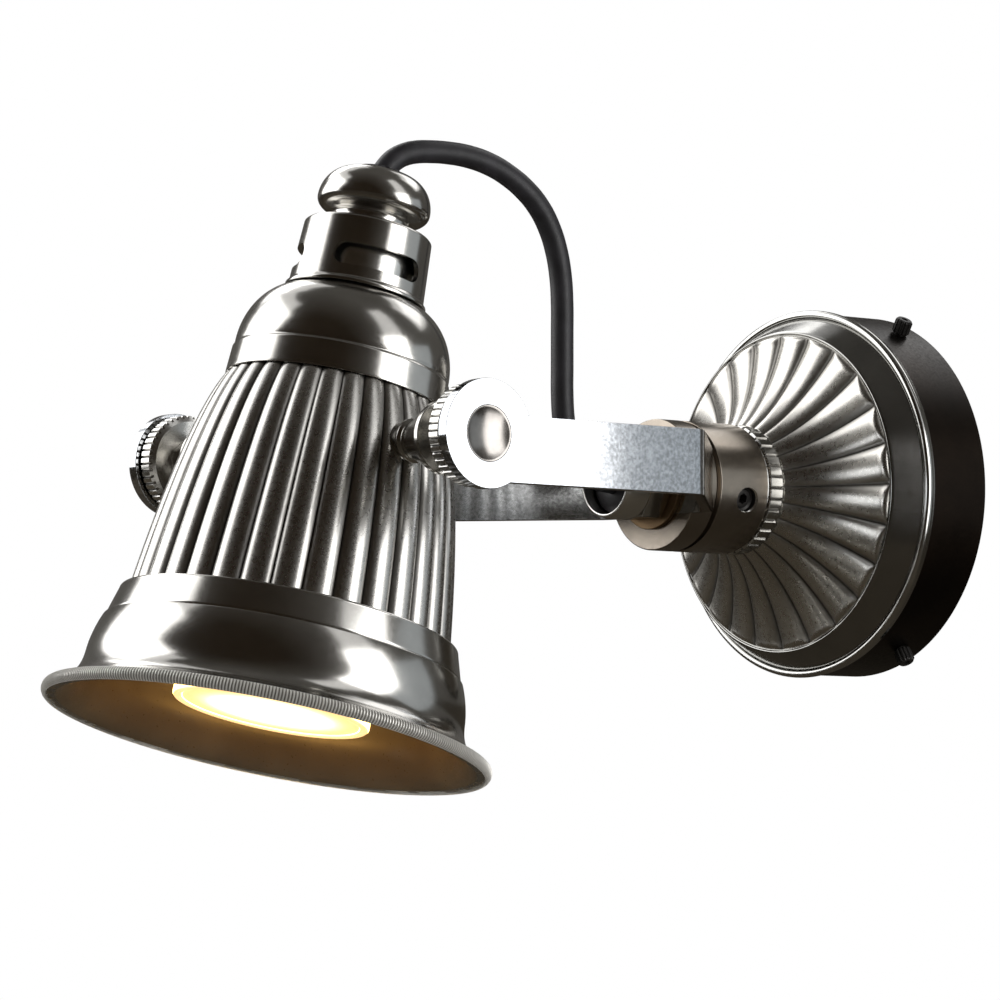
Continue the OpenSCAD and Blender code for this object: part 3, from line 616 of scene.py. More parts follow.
# Hub, fixed half: a coarse knurled ring against the rose and a plain turned collar with a chamfered
# hole for the grub screw, both nickel over brass.
hub_r = 17.5
collar_d = 49.6
front_d = 66.5
face_d = 75.0
grub_d = 56.6
collar_tail = 34.6
tail_r = 9.6
stem_bore_r = 8.05
hub_nickel = plated("hub_nickel", (0.31, 0.27, 0.225), (0.03, 0.024, 0.018), 0.24, 9 * MM)
bright_nickel = plated("bright_nickel", (0.74, 0.73, 0.70), (0.05, 0.042, 0.034), 0.2, 8 * MM)
ring_outline = [(tail_r + play, rose_top_d), (hub_r - 0.9, rose_top_d)]
ring_outline += [(hub_r - 0.8, rose_top_d + 0.5), (hub_r, rose_top_d + 0.8)]
ring_outline += [(hub_r, collar_d - 1.3), (hub_r - 0.8, collar_d - 0.9)]
ring_outline += [(hub_r - 0.9, collar_d), (tail_r + play, collar_d)]
finish_piece(
    "knurled_ring",
    knurled(ring_outline, 36, 0.6, 5, 6),
    OUT,
    rim_nickel,
    "wall_base",
    ["hub_knurled_ring"],
    crease=0.35,
)


def cut(piece, cutter_mesh, crease=0.6):
    """Takes a closed mesh away from a piece."""
    cutter = new_object("cutter", cutter_mesh)
    taken = piece.modifiers.new("taken", "BOOLEAN")
    taken.object = cutter
    taken.operation = "DIFFERENCE"
    taken.solver = "EXACT"
    taken.use_self = True
    piece.modifiers.move(len(piece.modifiers) - 1, 0)
    even = piece.modifiers["even_shading"]
    even.show_viewport = False
    bpy.context.view_layer.update()
    graph = bpy.context.evaluated_depsgraph_get()
    mesh = bpy.data.meshes.new_from_object(piece.evaluated_get(graph))
    even.show_viewport = True
    piece.modifiers.remove(taken)
    worn = piece.data
    piece.data = mesh
    mesh.name = worn.name
    bpy.data.meshes.remove(worn)
    old = cutter.data
    bpy.data.objects.remove(cutter)
    bpy.data.meshes.remove(old)
    sharpen = bmesh.new()
    sharpen.from_mesh(mesh)
    for edge in sharpen.edges:
        edge.smooth = len(edge.link_faces) == 2 and edge.calc_face_angle() < crease
    sharpen.to_mesh(mesh)
    sharpen.free()


collar_outline = [(stem_bore_r, collar_tail), (tail_r, collar_tail), (tail_r, collar_d)]
collar_outline += [(hub_r, collar_d), (hub_r, front_d - 0.3), (stem_bore_r, front_d - 0.3)]
collar = finish_piece(
    "hub_collar_ring",
    turned(collar_outline),
    OUT,
    hub_nickel,
    "wall_base",
    ["hub_collar"],
)
grub_turn = 14
grub_place = Matrix.Translation((0, -grub_d * MM, 0)) @ Matrix.Rotation(
    math.radians(90 + grub_turn), 4, "Y"
)
grub_hole_r = 2.5
grub_hole_foot = 9
grub_mouth_r = 3.2
grub_mouth = 15.2
grub_edge = 0.5
grub_edge_r = grub_mouth_r + 2 * grub_edge
grub_outline = [(0, grub_hole_foot), (grub_hole_r, grub_hole_foot), (grub_hole_r, grub_mouth)]
grub_outline += [(grub_mouth_r, grub_mouth + 0.4), (grub_mouth_r, hub_r - grub_edge)]
grub_outline += [(grub_edge_r, hub_r + grub_edge), (grub_edge_r, hub_r + 2), (0, hub_r + 2)]
grub_hole = turned(grub_outline, 48, 0)
bmesh.ops.transform(grub_hole, matrix=grub_place, verts=grub_hole.verts)
cut(collar, grub_hole)
# The wall of the grub hole takes the black steel as a painted shade down the hole, and its chamfer
# takes the bright nickel.
collar.data.materials.append(black_steel)
collar.data.materials.append(bright_nickel)
for face in collar.data.polygons:
    corners = [grub_place.inverted() @ collar.data.vertices[k].co for k in face.vertices]
    reach = max(c.xy.length for c in corners)
    if min(c.z for c in corners) > 0 and reach < grub_edge_r * MM:
        face.material_index = 1 if reach < (grub_mouth_r + 0.01) * MM else 2

# Grub screw: a cup-point screw of blackened steel with a hex socket, sunk in the collar. Its tip
# holds the stem of the turning half.
grub_r = 2.4
grub_tip = 7.4
grub_top = hub_r - 1.9
socket_r = 1.5
socket_foot = grub_top - 2.4
grub = turned([(0, grub_tip), (grub_r, grub_tip), (grub_r, grub_top), (0, grub_top)], 48, 0.15)
grub_piece = finish_piece(
    "grub_screw", grub, grub_place, black_steel, "wall_base", ["hub_grub_screw"]
)
socket_outline = [(0, socket_foot), (socket_r, socket_foot)]
socket_outline += [(socket_r, grub_top + 1), (0, grub_top + 1)]
socket = turned(socket_outline, 6, 0)
bmesh.ops.transform(socket, matrix=grub_place, verts=socket.verts)
cut(grub_piece, socket)

# Hub, turning half: the front ring with its stem. A narrow groove parts it from the collar, and the
# strap's web lies in the slot across its face.
strap_w = 16.5
strap_t = 3.0
strap_slot_long = 44
strap_slot_deep = 8
nipple_bore_r = 5.05
stem_r = 8
stem_foot = 35.6
groove_r = hub_r - 1.9
groove_end = front_d + 1.2
front_outline = [(nipple_bore_r, stem_foot), (stem_r, stem_foot), (stem_r, front_d)]
front_outline += [(groove_r, front_d), (groove_r, groove_end), (hub_r, groove_end)]
front_outline += [(hub_r, face_d), (nipple_bore_r, face_d)]
front = finish_piece(
    "hub_front_ring",
    turned(front_outline, 160, 0.35),
    OUT,
    hub_nickel,
    "yoke_arm",
    ["hub_front"],
)
slot = bmesh.new()
bmesh.ops.create_cube(slot, size=1)
slot_size = (strap_slot_long * MM, strap_slot_deep * MM, (strap_w + 0.1) * MM)
slot_d = face_d - strap_t + strap_slot_deep / 2
bmesh.ops.scale(slot, vec=slot_size, verts=slot.verts)
bmesh.ops.translate(slot, vec=(0, -slot_d * MM, 0), verts=slot.verts)
cut(front, slot)

# Nipple, washer, nut and gland: a threaded brass nipple clamps the strap on the hub, with a dulled
# brass washer and a hex nut, and the gland cap with its rubber seal takes the cable.
washer_d = 76.4
washer_r = 12
nut_r = 18.5 / math.sqrt(3)
gland_d = 83.4
gland_end = 92.0
gland_r = 9.8
seal_d = 86
cable_bore_r = 3.05
brass = plated("brass", (0.30, 0.20, 0.11), (0.05, 0.032, 0.016), 0.32, 5 * MM)
dress("nipple", brass)
washer_outline = [(nipple_bore_r, face_d), (washer_r, face_d)]
washer_outline += [(washer_r, washer_d), (nipple_bore_r, washer_d)]
finish_piece(
    "washer",
    turned(washer_outline, 96),
    OUT,
    brass,
    "yoke_arm",
    ["nipple_washer"],
)
nut_outline = [(nipple_bore_r, washer_d), (nut_r, washer_d)]
nut_outline += [(nut_r, gland_d), (nipple_bore_r, gland_d)]
finish_piece(
    "hex_nut",
    turned(nut_outline, 6, 0.5),
    OUT,
    rim_nickel,
    "yoke_arm",
    ["nipple_nut"],
)
gland_outline = [(nipple_bore_r, gland_d), (gland_r - 0.4, gland_d), (gland_r, gland_d + 0.5)]
gland_outline += [(gland_r, gland_end - 2.2), (gland_r - 0.4, gland_end), (8.6, gland_end)]
gland_outline += [(8.4, gland_end - 1), (8.6, gland_d + 2.6), (nipple_bore_r, gland_d + 2.6)]
finish_piece(
    "gland",
    turned(gland_outline, 96),
    OUT,
    bright_nickel,
    "yoke_arm",
    ["gland_cap"],
)
seal_outline = [(cable_bore_r, seal_d), (8.4, seal_d), (8.2, seal_d + 2.4)]
seal_outline += [(6, seal_d + 3.4), (cable_bore_r, seal_d + 3.4)]
finish_piece(
    "gland_grommet",
    turned(seal_outline, 64),
    OUT,
    black_rubber,
    "yoke_arm",
    ["gland_seal"],
)

# Yoke: 16.5 by 3 mm strap, bent at four places and welded to a round eye at each end. It is
# polished nickel, scuffed to a mottled satin by handling.
web_half = 20.0
arm_out = 66.0
arm_start = 116.0
pivot_d = 185.0
eye_rise = 3.5
eye_r = 13.5
bolt_seat_r = 6.95
eye_lap = 2
eye_steps = 64
bend_r = 6.0
bend_steps = 8
strap_round = 0.5


def strap_half():
    """Half of the strap, from the middle of the web to its arm's eye, in the frame of the part."""
    bm = bmesh.new()
    web = face_d - strap_t / 2
    arm = arm_out - strap_t / 2
    lean = math.atan2(arm_start - web, arm - web_half)
    turns = [lean, math.pi / 2 - lean]
    slant = math.hypot(arm - web_half, arm_start - web)
    setback = [bend_r * math.tan(turn / 2) for turn in turns]
    runs = [web_half - setback[0], slant - setback[0] - setback[1]]
    bmesh.ops.create_grid(bm, x_segments=1, y_segments=1, size=0.5)
    bmesh.ops.scale(bm, vec=(strap_t, strap_w, 1), verts=bm.verts)
    stand = Matrix(((0, 0, 1, 0), (1, 0, 0, web), (0, 1, 0, 0), (0, 0, 0, 1)))
    bmesh.ops.transform(bm, matrix=stand, verts=bm.verts)
    faces = list(bm.faces)
    place, heading = Vector((0, web, 0)), 0.0

    def advance(matrix):
        nonlocal faces
        made = bmesh.ops.extrude_face_region(bm, geom=faces)["geom"]
        bmesh.ops.delete(bm, geom=faces, context="FACES_ONLY")
        faces = [g for g in made if isinstance(g, bmesh.types.BMFace)]
        corners = [g for g in made if isinstance(g, bmesh.types.BMVert)]
        bmesh.ops.transform(bm, matrix=matrix, verts=corners)

    for run, turn in zip(runs, turns):
        ahead = Vector((math.cos(heading), math.sin(heading), 0))
        advance(Matrix.Translation(ahead * run))
        place = place + ahead * run
        centre = place + Vector((-math.sin(heading), math.cos(heading), 0)) * bend_r
        step = Matrix.Rotation(turn / bend_steps, 4, "Z")
        about = Matrix.Translation(centre) @ step @ Matrix.Translation(-centre)
        for _ in range(bend_steps):
            advance(about)
            place = about @ place
        heading += turn
    neck = pivot_d - math.sqrt(eye_r**2 - (strap_w / 2 + eye_rise) ** 2)
    advance(Matrix.Translation((0, neck - eye_lap - place.y, 0)))
    bmesh.ops.delete(bm, geom=faces, context="FACES_ONLY")
    return bm, neck


def arm_eye(bm, neck):
    """The eye on an arm's end: an extruded outline with a hole for the bolt's head."""
    low, high = arm_out - strap_t, arm_out
    centre = (pivot_d, eye_rise)
    arc_from = math.degrees(math.asin((strap_w / 2 + eye_rise) / eye_r)) - 180
    arc_to = 180 - math.degrees(math.asin((strap_w / 2 - eye_rise) / eye_r))
    rim = [(neck - eye_lap, -strap_w / 2)]
    rim += oval(centre, eye_r, eye_r, arc_from, arc_to, eye_steps)
    rim += [(neck - eye_lap, strap_w / 2)]
    edges = []
    for outline in (rim, oval(centre, bolt_seat_r, bolt_seat_r, 0, 360, eye_steps)[:-1]):
        ring = [bm.verts.new((low, d, z)) for d, z in outline]
        edges += [bm.edges.new(pair) for pair in zip(ring, ring[1:] + ring[:1])]
    filled = bmesh.ops.triangle_fill(bm, edges=edges, use_beauty=True, use_dissolve=False)["geom"]
    sheet_faces = [g for g in filled if isinstance(g, bmesh.types.BMFace)]
    made = bmesh.ops.extrude_face_region(bm, geom=sheet_faces, use_keep_orig=True)["geom"]
    raised = [g for g in made if isinstance(g, bmesh.types.BMVert)]
    bmesh.ops.translate(bm, vec=(high - low, 0, 0), verts=raised)
    back = [
        f
        for f in bm.faces
        if all(abs(v.co.y - neck + eye_lap) < 1e-4 for v in f.verts) and abs(f.normal.y) > 0.5
    ]
    bmesh.ops.delete(bm, geom=back, context="FACES_ONLY")


yoke_mesh, neck = strap_half()
arm_eye(yoke_mesh, neck)
bmesh.ops.remove_doubles(yoke_mesh, verts=yoke_mesh.verts, dist=1e-3)
root = [f for f in yoke_mesh.faces if all(abs(v.co.x) < 1e-4 for v in f.verts)]
bmesh.ops.delete(yoke_mesh, geom=root, context="FACES_ONLY")
whole = yoke_mesh.verts[:] + yoke_mesh.edges[:] + yoke_mesh.faces[:]
other = bmesh.ops.duplicate(yoke_mesh, geom=whole)["geom"]
other_verts = [g for g in other if isinstance(g, bmesh.types.BMVert)]
bmesh.ops.scale(yoke_mesh, vec=(-1, 1, 1), verts=other_verts)
bmesh.ops.remove_doubles(yoke_mesh, verts=yoke_mesh.verts, dist=1e-3)
strap_edges = [e for e in yoke_mesh.edges if all(v.co.y < neck - 1 for v in e.verts)]
bmesh.ops.dissolve_limit(yoke_mesh, angle_limit=0.002, verts=[], edges=strap_edges)
bmesh.ops.recalc_face_normals(yoke_mesh, faces=yoke_mesh.faces)
yoke_corners = [e for e in yoke_mesh.edges if len(e.link_faces) == 2 and e.calc_face_angle() > 0.9]
bmesh.ops.bevel(
    yoke_mesh,
    geom=yoke_corners,
    offset=strap_round,
    offset_type="OFFSET",
    segments=3,
    profile=0.5,
    affect="EDGES",
    material=-1,
    clamp_overlap=True,
)
scuffed_nickel = plated(
    "scuffed_nickel", (0.66, 0.68, 0.71), (0.06, 0.05, 0.04), 0.09, 0.8 * MM, mottle=0.6
)
yoke_place = Matrix.Scale(MM, 4) @ Matrix.Scale(-1, 4, (0, 1, 0))
bmesh.ops.transform(yoke_mesh, matrix=yoke_place, verts=yoke_mesh.verts)
bmesh.ops.recalc_face_normals(yoke_mesh, faces=yoke_mesh.faces)
finish_piece(
    "yoke_strap", yoke_mesh, Matrix(), scuffed_nickel, "yoke_arm", ["yoke"]
)

# Pivot bolts: turned bolts with a dished, polished head let into each eye. Each runs through its
# friction washer, knob and boss into a nut inside the head.
bolt_r = 3.0
bolt_head_r = 6.9
head_seat = 64.5
dish_edge = 6.75
dish_deep = 1.3
dish_round = (dish_edge**2 + dish_deep**2) / (2 * dish_deep)
pivot_place = Matrix.Translation((0, -pivot_d * MM, eye_rise * MM))
sides = {
    "near": pivot_place @ Matrix.Rotation(math.radians(90), 4, "Y"),
    "far": pivot_place @ Matrix.Rotation(math.radians(-90), 4, "Y"),
}
dish_sweep = math.degrees(math.asin(dish_edge / dish_round))
bolt_tail = 23.9
bolt_outline = [(0, bolt_tail), (bolt_r, bolt_tail), (bolt_r, head_seat)]
bolt_outline += [(bolt_head_r, head_seat), (bolt_head_r, arm_out)]
bolt_outline += oval(
    (0, arm_out - dish_deep + dish_round), dish_round, dish_round, -90 + dish_sweep, -90, 14
)
bolt_outline[-1] = (0, arm_out - dish_deep)
dish_nickel = plated("dish_nickel", (0.33, 0.31, 0.29), (0.04, 0.03, 0.025), 0.2, 4 * MM)
for side, place in sides.items():
    finish_piece(
        side + "_bolt",
        turned(bolt_outline, 96, 0.05),
        place,
        dish_nickel,
        "lamp_head",
        [side + "_pivot_bolt"],
    )
    dress(side + "_friction_washer", black_rubber)
dress("pivot_nuts", zinc)

# Clamp knobs: discs turned from brass with a straight knurl, nickel plated. One runs on the thread
# of each bolt, and turning it frees the tilt.
knob_r = 12.7
knob_in = 57.3
knob_out = 62.3
knob_outline = [(bolt_r + play, knob_in), (knob_r - 1.6, knob_in), (knob_r - 0.8, knob_in + 0.5)]
knob_outline += [(knob_r, knob_in + 1), (knob_r, knob_out - 0.7), (knob_r - 0.7, knob_out)]
knob_outline += [(bolt_r + play, knob_out)]
for side, place in sides.items():
    finish_piece(
        side + "_clamp_knob",
        knurled(knob_outline, 44, 0.5, 4, 5),
        place,
        bright_nickel,
        side + "_clamp",
        [side + "_knob"],
        crease=0.35,
    )

# Bosses: turned trumpets with a broad rim, in the head's antique nickel. They stand on the bolts,
# between the head and its knobs.
boss_in = 27.89
boss_foot = 33.39
boss_out = 57.2
boss_foot_r = 4.8
boss_wide_r = 9.3
boss_neck_r = 6.1
boss_rim = boss_foot + 0.62 * (boss_out - boss_foot)
antique_nickel = plated(
    "antique_nickel", (0.56, 0.545, 0.515), (0.022, 0.017, 0.013), 0.17, 11 * MM
)
boss_outline = (
    [(bolt_r + play, boss_in), (boss_foot_r, boss_in), (boss_foot_r, boss_foot + 2)]
    + [(boss_foot_r + 0.8, boss_foot + 2.4), (boss_foot_r + 0.8, boss_foot + 3.4)]
    + bow(
        (boss_foot_r, boss_foot + 4),
        (boss_foot_r + 1.6, boss_foot + 0.6 * (boss_rim - boss_foot)),
        (boss_wide_r, boss_rim),
        16,
    )
    + [(boss_wide_r, boss_rim + 1.4), (boss_neck_r, boss_rim + 2.2), (boss_neck_r, boss_out)]
    + [(bolt_r + play, boss_out)]
)
for side, place in sides.items():
    finish_piece(
        side + "_turned_boss",
        turned(boss_outline, 96, 0.2),
        place,
        antique_nickel,
        "lamp_head",
        [side + "_boss"],
    )

# Fluted body: the head's cast middle, 32 rounded ribs that draw in to the dome. It is antique
# nickel with dark valleys.
ribs = 32
rib_columns = 12
rib_deep = 1.4
rib_root = 2.0
head_wall = 1.4
body_foot = (41.1, -44.8)
body_shoulder = (35.4, 2.0)
body_top = (28.0, 14.5)
rest_tilt = math.radians(14)
HEAD = pivot_place @ Matrix.Rotation(-rest_tilt, 4, "X")
body_line = bow(body_foot, body_shoulder, body_top, 56)
lining = [(r - rib_root - head_wall, h) for r, h in bow(body_top, body_shoulder, body_foot, 14)]
body_mesh = turned(body_line + lining, ribs * rib_columns, 0)
flute(body_mesh, ribs, body_line, lambda radius, height: (rib_deep * radius / body_foot[0], 0))
cast_nickel = plated("cast_nickel", (0.62, 0.605, 0.575), (0.022, 0.017, 0.013), 0.28, 11 * MM)
finish_piece(
    "ribbed_body",
    body_mesh,
    HEAD,
    cast_nickel,
    "lamp_head",
    ["fluted_body"],
    crease=1.2,
)

# Collar band: a smooth band, spun from sheet brass and plated like the rest of the head. The ribs
# stand on it.
band_top = -44.8
band_foot = -53.0
band_r = 43.3
band_foot_r = 45.2
band_in = 37.7
band_outline = [(band_in, band_foot), (band_foot_r, band_foot), (band_foot_r, band_foot + 0.8)]
band_outline += oval((band_r - 0.8, band_top - 0.8), 0.8, 0.8, 0, 90, 8) + [(band_in, band_top)]
finish_piece(
    "smooth_band",
    turned(band_outline, 192),
    HEAD,
    antique_nickel,
    "lamp_head",
    ["collar_band"],
)

# Bell: spun brass, flared to the mouth and pressed under the band. It is nickel outside and dark
# brown inside.
mouth = -75.4
lip_r = 55.9
lip_top = -72.1
waist = -63.08
waist_r = 48.3
bell_top_r = 45.9
bell_out = [(lip_r, mouth + 0.5), (lip_r, lip_top)]
bell_out += bow((lip_r, lip_top), (waist_r + 0.6, lip_top + 1), (waist_r, waist), 20)[1:]
bell_out += bow((waist_r, waist), (waist_r - 0.3, waist + 5), (bell_top_r, band_foot), 8)[1:]
bell_in = bow(
    (bell_top_r - head_wall, band_foot),
    (waist_r - 0.3 - head_wall, waist + 5),
    (waist_r - head_wall, waist),
    8,
)
bell_in += bow(
    (waist_r - head_wall, waist), (waist_r - 0.8, lip_top), (lip_r - 2.4, mouth + 0.5), 20
)[1:]
bell = finish_piece(
    "bell_shade",
    turned(bell_out + bell_in, 192),
    HEAD,
    antique_nickel,
    "lamp_head",
    ["bell"],
)
bell_brown = dark_finish("bell_brown", (0.080, 0.056, 0.031), (0.115, 0.083, 0.048), 0.32, 0.1)
bell.data.materials.append(bell_brown)
head_axis = HEAD.to_3x3() @ Vector((0, 0, 1))
for face in bell.data.polygons:
    arm_to = face.center - HEAD.translation
    out_from_axis = arm_to - head_axis * arm_to.dot(head_axis)
    if face.normal.dot(out_from_axis) < 0:
        face.material_index = 1

# Bell rim: a bead rolled round the mouth and knurled with fine strokes. Its plating is worn pale
# and dull, with dirt in the strokes.
rim_strokes = 440
stroke_columns = 4
stroke_from = lip_r + 0.3
stroke_deep = 0.3
worn_nickel = plated(
    "worn_nickel", (0.80, 0.78, 0.73), (0.08, 0.068, 0.055), 0.4, 4 * MM, metal=0.5
)
rim_bead = oval((lip_r + play, (mouth + lip_top) / 2), 1.35, (lip_top - mouth) / 2, -90, 90, 8)
bead_steps = rim_strokes * stroke_columns
bead_mesh = turned(rim_bead, bead_steps, 0)
layer = bead_mesh.verts.layers.float.new("recess")
for vert in bead_mesh.verts:
    column = round(math.atan2(vert.co.y, vert.co.x) / (2 * math.pi) * bead_steps) % stroke_columns
    proud = vert.co.xy.length - stroke_from * MM
    if column >= stroke_columns / 2 and proud > 0:
        vert.co.xy *= (vert.co.xy.length - min(proud, stroke_deep * MM)) / vert.co.xy.length
        vert[layer] = 0.7
finish_piece(
    "knurled_rim",
    bead_mesh,
    HEAD,
    worn_nickel,
    "lamp_head",
    ["bell_rim"],
    crease=0.35,
)

# Lamp bezel: a dark brown ring, spun from sheet and held between the band and the bell. It hides
# the gap round the lamp.
bezel_r = 44.3
bezel_in_r = 26.8
bezel_outline = (
    [(bezel_r, band_foot), (bezel_r, band_foot - 1.2)]
    + bow(
        (bezel_r - 0.5, band_foot - 1.4),
        (bezel_in_r + 4, band_foot - 2.4),
        (bezel_in_r + 1.2, band_foot - 8.6),
        14,
    )
    + [(bezel_in_r + 0.6, band_foot - 9), (bezel_in_r, band_foot - 8.6)]
    + [(bezel_in_r, band_foot - 2), (41.3, band_foot)]
)
finish_piece(
    "bezel_ring",
    turned(bezel_outline, 160, 0.15),
    HEAD,
    bell_brown,
    "lamp_head",
    ["lamp_bezel"],
)

# Dome: a spun cap in antique nickel, with a straight band at its foot. The tie tube clamps it on
# the ribs.
dome_r = 28.4
dome_foot = 14.5
dome_band_top = 22.8
dome_round = 14.3
vent_foot = 40.0
vent_r = 17.4
sleeve_r = 13.6
dome_lift = math.sqrt(1 - ((vent_r - dome_r + dome_round) / dome_round) ** 2)
dome_arc = (vent_foot - dome_band_top) / dome_lift
dome_stop = math.degrees(math.asin(dome_lift))
dome_centre = (dome_r - 0.8 - dome_round, dome_band_top)
dome_outline = [(dome_r, dome_foot), (dome_r, dome_foot + 0.8), (dome_r - 0.4, dome_band_top - 1.2)]
dome_outline += [(dome_r - 0.9, dome_band_top - 0.7), (dome_r - 0.9, dome_band_top - 0.3)]
dome_outline += oval(dome_centre, dome_round, dome_arc, 0, dome_stop, 26)
dome_outline += [(sleeve_r + play, vent_foot), (sleeve_r + play, vent_foot - head_wall)]
dome_inner = oval(dome_centre, dome_round - head_wall, dome_arc - head_wall, dome_stop - 4, 0, 14)
dome_outline += dome_inner + [(dome_r - head_wall, dome_foot)]
finish_piece(
    "dome",
    turned(dome_outline, 192, 0.2),
    HEAD,
    antique_nickel,
    "lamp_head",
    ["dome_cap"],
)

# Vent collar: a turned collar with three long round-ended slots that let the lamp's heat out. The
# bright sleeve inside it shows through them.
vent_top = 58.2
vent_top_r = 16.5
vent_wall = 1.3
slot_h = 6.0
slot_z = vent_foot + 7.5
slot_span = 84
slot_first = -20
tube_bore_r = 5.05
vent_outline = [(sleeve_r + play, vent_foot), (vent_r + 0.8, vent_foot)]
vent_outline += [(vent_r + 0.8, vent_foot + 0.8), (vent_r, vent_foot + 1.6)]
vent_outline += [(vent_top_r, vent_top - 0.6), (vent_top_r - 0.6, vent_top)]
vent_outline += [(tube_bore_r, vent_top), (tube_bore_r, vent_top - 1.5)]
vent_outline += [(vent_top_r - vent_wall, vent_top - 1.5), (vent_r - vent_wall, vent_foot + 1.6)]
vent_outline += [(sleeve_r + play, vent_foot + 1.6)]
vent = finish_piece(
    "slotted_collar",
    turned(vent_outline, 192, 0.2),
    HEAD,
    antique_nickel,
    "lamp_head",
    ["vent_collar"],
)
slot_in = vent_top_r - vent_wall - 0.6
slot_out = vent_r + 2
slot_end = math.degrees(slot_h / 2 / vent_r)
slot_low, slot_high = slot_z - slot_h / 2, slot_z + slot_h / 2
slot_outline = [(slot_in, slot_low), (slot_out, slot_low)]
slot_outline += [(slot_out, slot_high), (slot_in, slot_high)]
sweep = slot_span - 2 * slot_end
slots = bmesh.new()
for k in range(3):
    middle = slot_first + 120 * k
    wedge = bmesh.new()
    ring = [wedge.verts.new((r * MM, 0, z * MM)) for r, z in slot_outline]
    edges = [wedge.edges.new(pair) for pair in zip(ring, ring[1:] + ring[:1])]
    arc = math.radians(sweep)
    bmesh.ops.spin(
        wedge, geom=ring + edges, cent=(0, 0, 0), axis=(0, 0, 1), angle=arc, steps=48
    )
    bmesh.ops.holes_fill(wedge, edges=wedge.edges, sides=4)
    bmesh.ops.recalc_face_normals(wedge, faces=wedge.faces)
    turn = Matrix.Rotation(math.radians(middle - sweep / 2), 4, "Z")
    add_mesh(slots, wedge, HEAD @ turn)
    for at in (middle - sweep / 2, middle + sweep / 2):
        end_outline = [(0, slot_in), (slot_h / 2, slot_in), (slot_h / 2, slot_out), (0, slot_out)]
        lay = Matrix.Translation((0, 0, slot_z * MM)) @ ALONG_X
        spot = Matrix.Rotation(math.radians(at), 4, "Z") @ lay
        add_mesh(slots, turned(end_outline, 32, 0), HEAD @ spot)
cut(vent, slots)
finish_piece(
    "bright_sleeve",
    turned(
        [(sleeve_r - 1, vent_foot - head_wall), (sleeve_r, vent_foot - head_wall)]
        + [(sleeve_r, vent_top - 1.5), (sleeve_r - 1, vent_top - 1.5)],
        128,
        0.1,
    ),
    HEAD,
    bright_nickel,
    "lamp_head",
    ["inner_sleeve"],
)

# Finial: a turned mushroom knob in antique nickel, screwed on the tie tube over the collar. The
# cable goes into the black rubber bush in its top.
finial_top = 73.7
finial_r = 14.6
finial_neck_r = 9.8
finial_top_r = 7.0
belly = vent_top + 7.1
finial_roll = (3.5, 3.0)
finial_under = (finial_r - finial_roll[0], belly - finial_roll[1])
bush_r = 5.4
tube_top = 65.7
finial_outline = (
    [(tube_bore_r, vent_top), (finial_neck_r + 1.4, vent_top)]
    + [(finial_neck_r + 1.4, vent_top + 0.8)]
    + bow((finial_neck_r, vent_top + 1.2), (finial_neck_r - 0.6, vent_top + 3.6), finial_under, 12)
    + oval((finial_r - finial_roll[0], belly), *finial_roll, -70, -10, 10)
    + oval((finial_top_r, belly), finial_r - finial_top_r, finial_top - belly, 0, 90, 24)
    + [(bush_r + play, finial_top), (bush_r + play, tube_top), (tube_bore_r, tube_top)]
)
finish_piece(
    "turned_finial",
    turned(finial_outline, 160, 0.2),
    HEAD,
    antique_nickel,
    "lamp_head",
    ["finial"],
)
bush_outline = [(cable_bore_r, tube_top), (bush_r, tube_top), (bush_r, finial_top)]
bush_outline += [(6.2, finial_top), (6.6, finial_top + 0.3), (6.6, finial_top + 0.6)]
bush_outline += [(6.2, finial_top + 0.8), (4.8, finial_top + 0.8), (cable_bore_r, tube_top + 3)]
finish_piece(
    "serrated_bush",
    knurled(bush_outline, 20, 0.5),
    HEAD,
    black_rubber,
    "lamp_head",
    ["cable_bush"],
)

# Inside of the head: the brass tie tube, its nut, the spider plate, the studs and the lamp's holder
# with its leads, all hidden behind the bezel.
dress("tie_tube", brass)
for node in ("tie_nut", "spider_plate", "holder_studs"):
    dress(node, zinc)
dress("lamp_holder", steatite)
dress("lamp_leads", black_rubber)

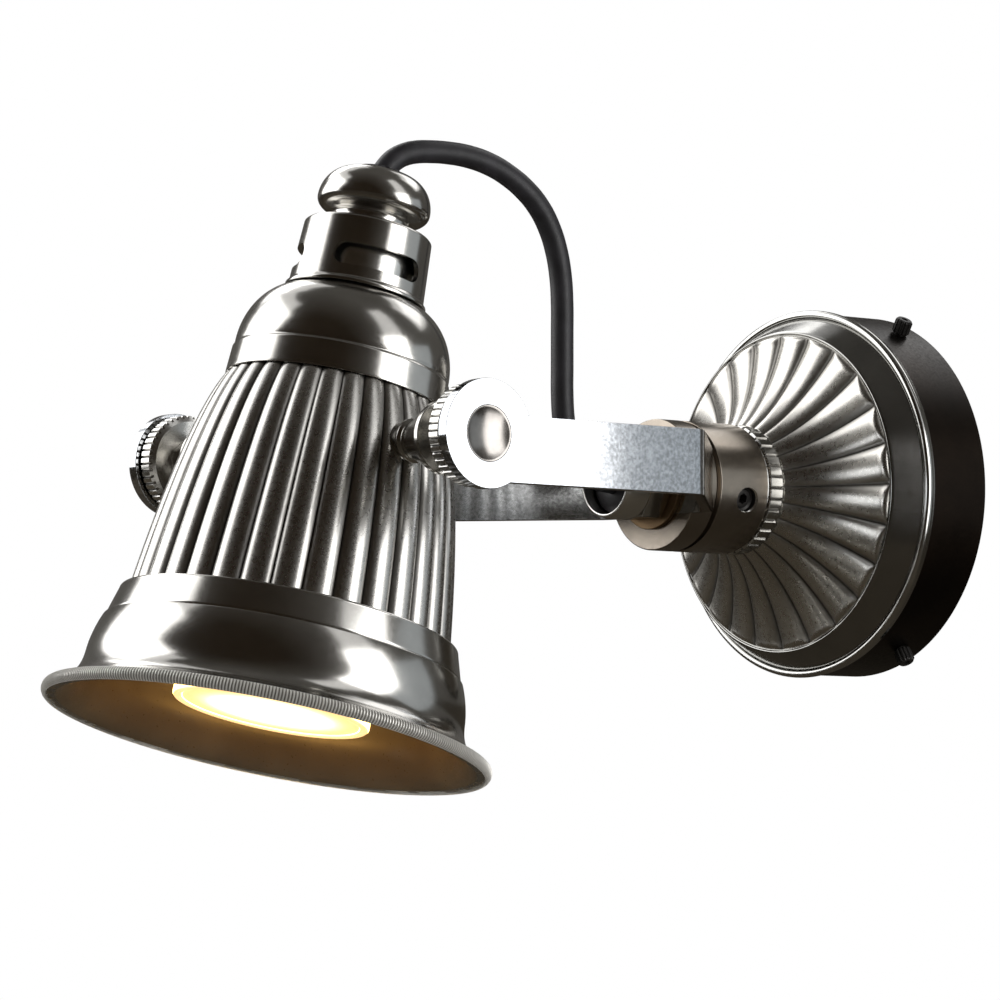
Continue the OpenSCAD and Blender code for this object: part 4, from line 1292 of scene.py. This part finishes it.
# Lamp: a 50 mm reflector lamp, lit, with its neck in the holder. Its shell is white glazed, and its
# frosted front glass glows warm, whitest in the middle.
lamp_r = 25.0
lamp_face = -68.9
lamp_top = -19.9
lamp_neck = -30
lamp_neck_r = 10
glass_r = 22.5
lit_side = 12.0
lamp_outline = (
    [(0, lamp_face + 1.6), (glass_r + 0.1, lamp_face + 1.6), (glass_r + 0.1, lamp_face + 0.4)]
    + [(glass_r + 0.6, lamp_face), (lamp_r - 0.5, lamp_face), (lamp_r, lamp_face + 0.6)]
    + [(lamp_r, lamp_face + 4.5)]
    + bow((lamp_r - 1.4, lamp_face + 7), (lamp_r - 8, -39), (lamp_neck_r, lamp_neck), 12)
    + [(lamp_neck_r, lamp_top), (0, lamp_top)]
)
lamp_white, nodes, links, shader = new_material("lamp_white")
links.new(
    ramp(nodes, links, noise(nodes, links, 120), (0.62, 0.61, 0.58), (0.70, 0.69, 0.66)),
    shader.inputs["Base Color"],
)
shader.inputs["Roughness"].default_value = 0.15
lit_edge = nodes.new("ShaderNodeAttribute")
lit_edge.attribute_name = "glow"
links.new(
    ramp(nodes, links, lit_edge.outputs["Fac"], (0, 0, 0), (1.0, 0.56, 0.14), 0.0, 1.0),
    shader.inputs["Emission Color"],
)
shader.inputs["Emission Strength"].default_value = 12
shell_mesh = turned(lamp_outline, 128, 0.2)
layer = shell_mesh.verts.layers.float.new("glow")
for vert in shell_mesh.verts:
    height = vert.co.z / MM - lamp_face
    vert[layer] = 0.1 if height < 0.3 else max(0.0, 1 - height / lit_side)
finish_piece("lamp_shell", shell_mesh, HEAD, lamp_white, "lamp_head", ["lamp"])
glass_outline = [(0, lamp_face + 0.2)] + bow(
    (0.5, lamp_face + 0.2), (glass_r * 0.7, lamp_face + 0.2), (glass_r, lamp_face + 0.5), 12
)
glass_outline += [(glass_r, lamp_face + 1.55), (0, lamp_face + 1.55)]
glass_mesh = turned(glass_outline, 128, 0)
layer = glass_mesh.verts.layers.float.new("glow")
for vert in glass_mesh.verts:
    vert[layer] = (1 - min(1.0, vert.co.xy.length / (glass_r * MM))) ** 3
lit_glass, nodes, links, shader = new_material("lit_glass")
glow = nodes.new("ShaderNodeAttribute")
glow.attribute_name = "glow"
warm = ramp(nodes, links, glow.outputs["Fac"], (0.05, 0.024, 0.003), (1.0, 0.80, 0.45), 0.0, 0.4)
links.new(warm, shader.inputs["Emission Color"])
shader.inputs["Emission Strength"].default_value = 24
shader.inputs["Base Color"].default_value = (0.8, 0.75, 0.65, 1)
shader.inputs["Roughness"].default_value = 0.4
finish_piece("lamp_lens", glass_mesh, HEAD, lit_glass, "lamp_head", ["lamp_glass"])

bpy.context.view_layer.update()
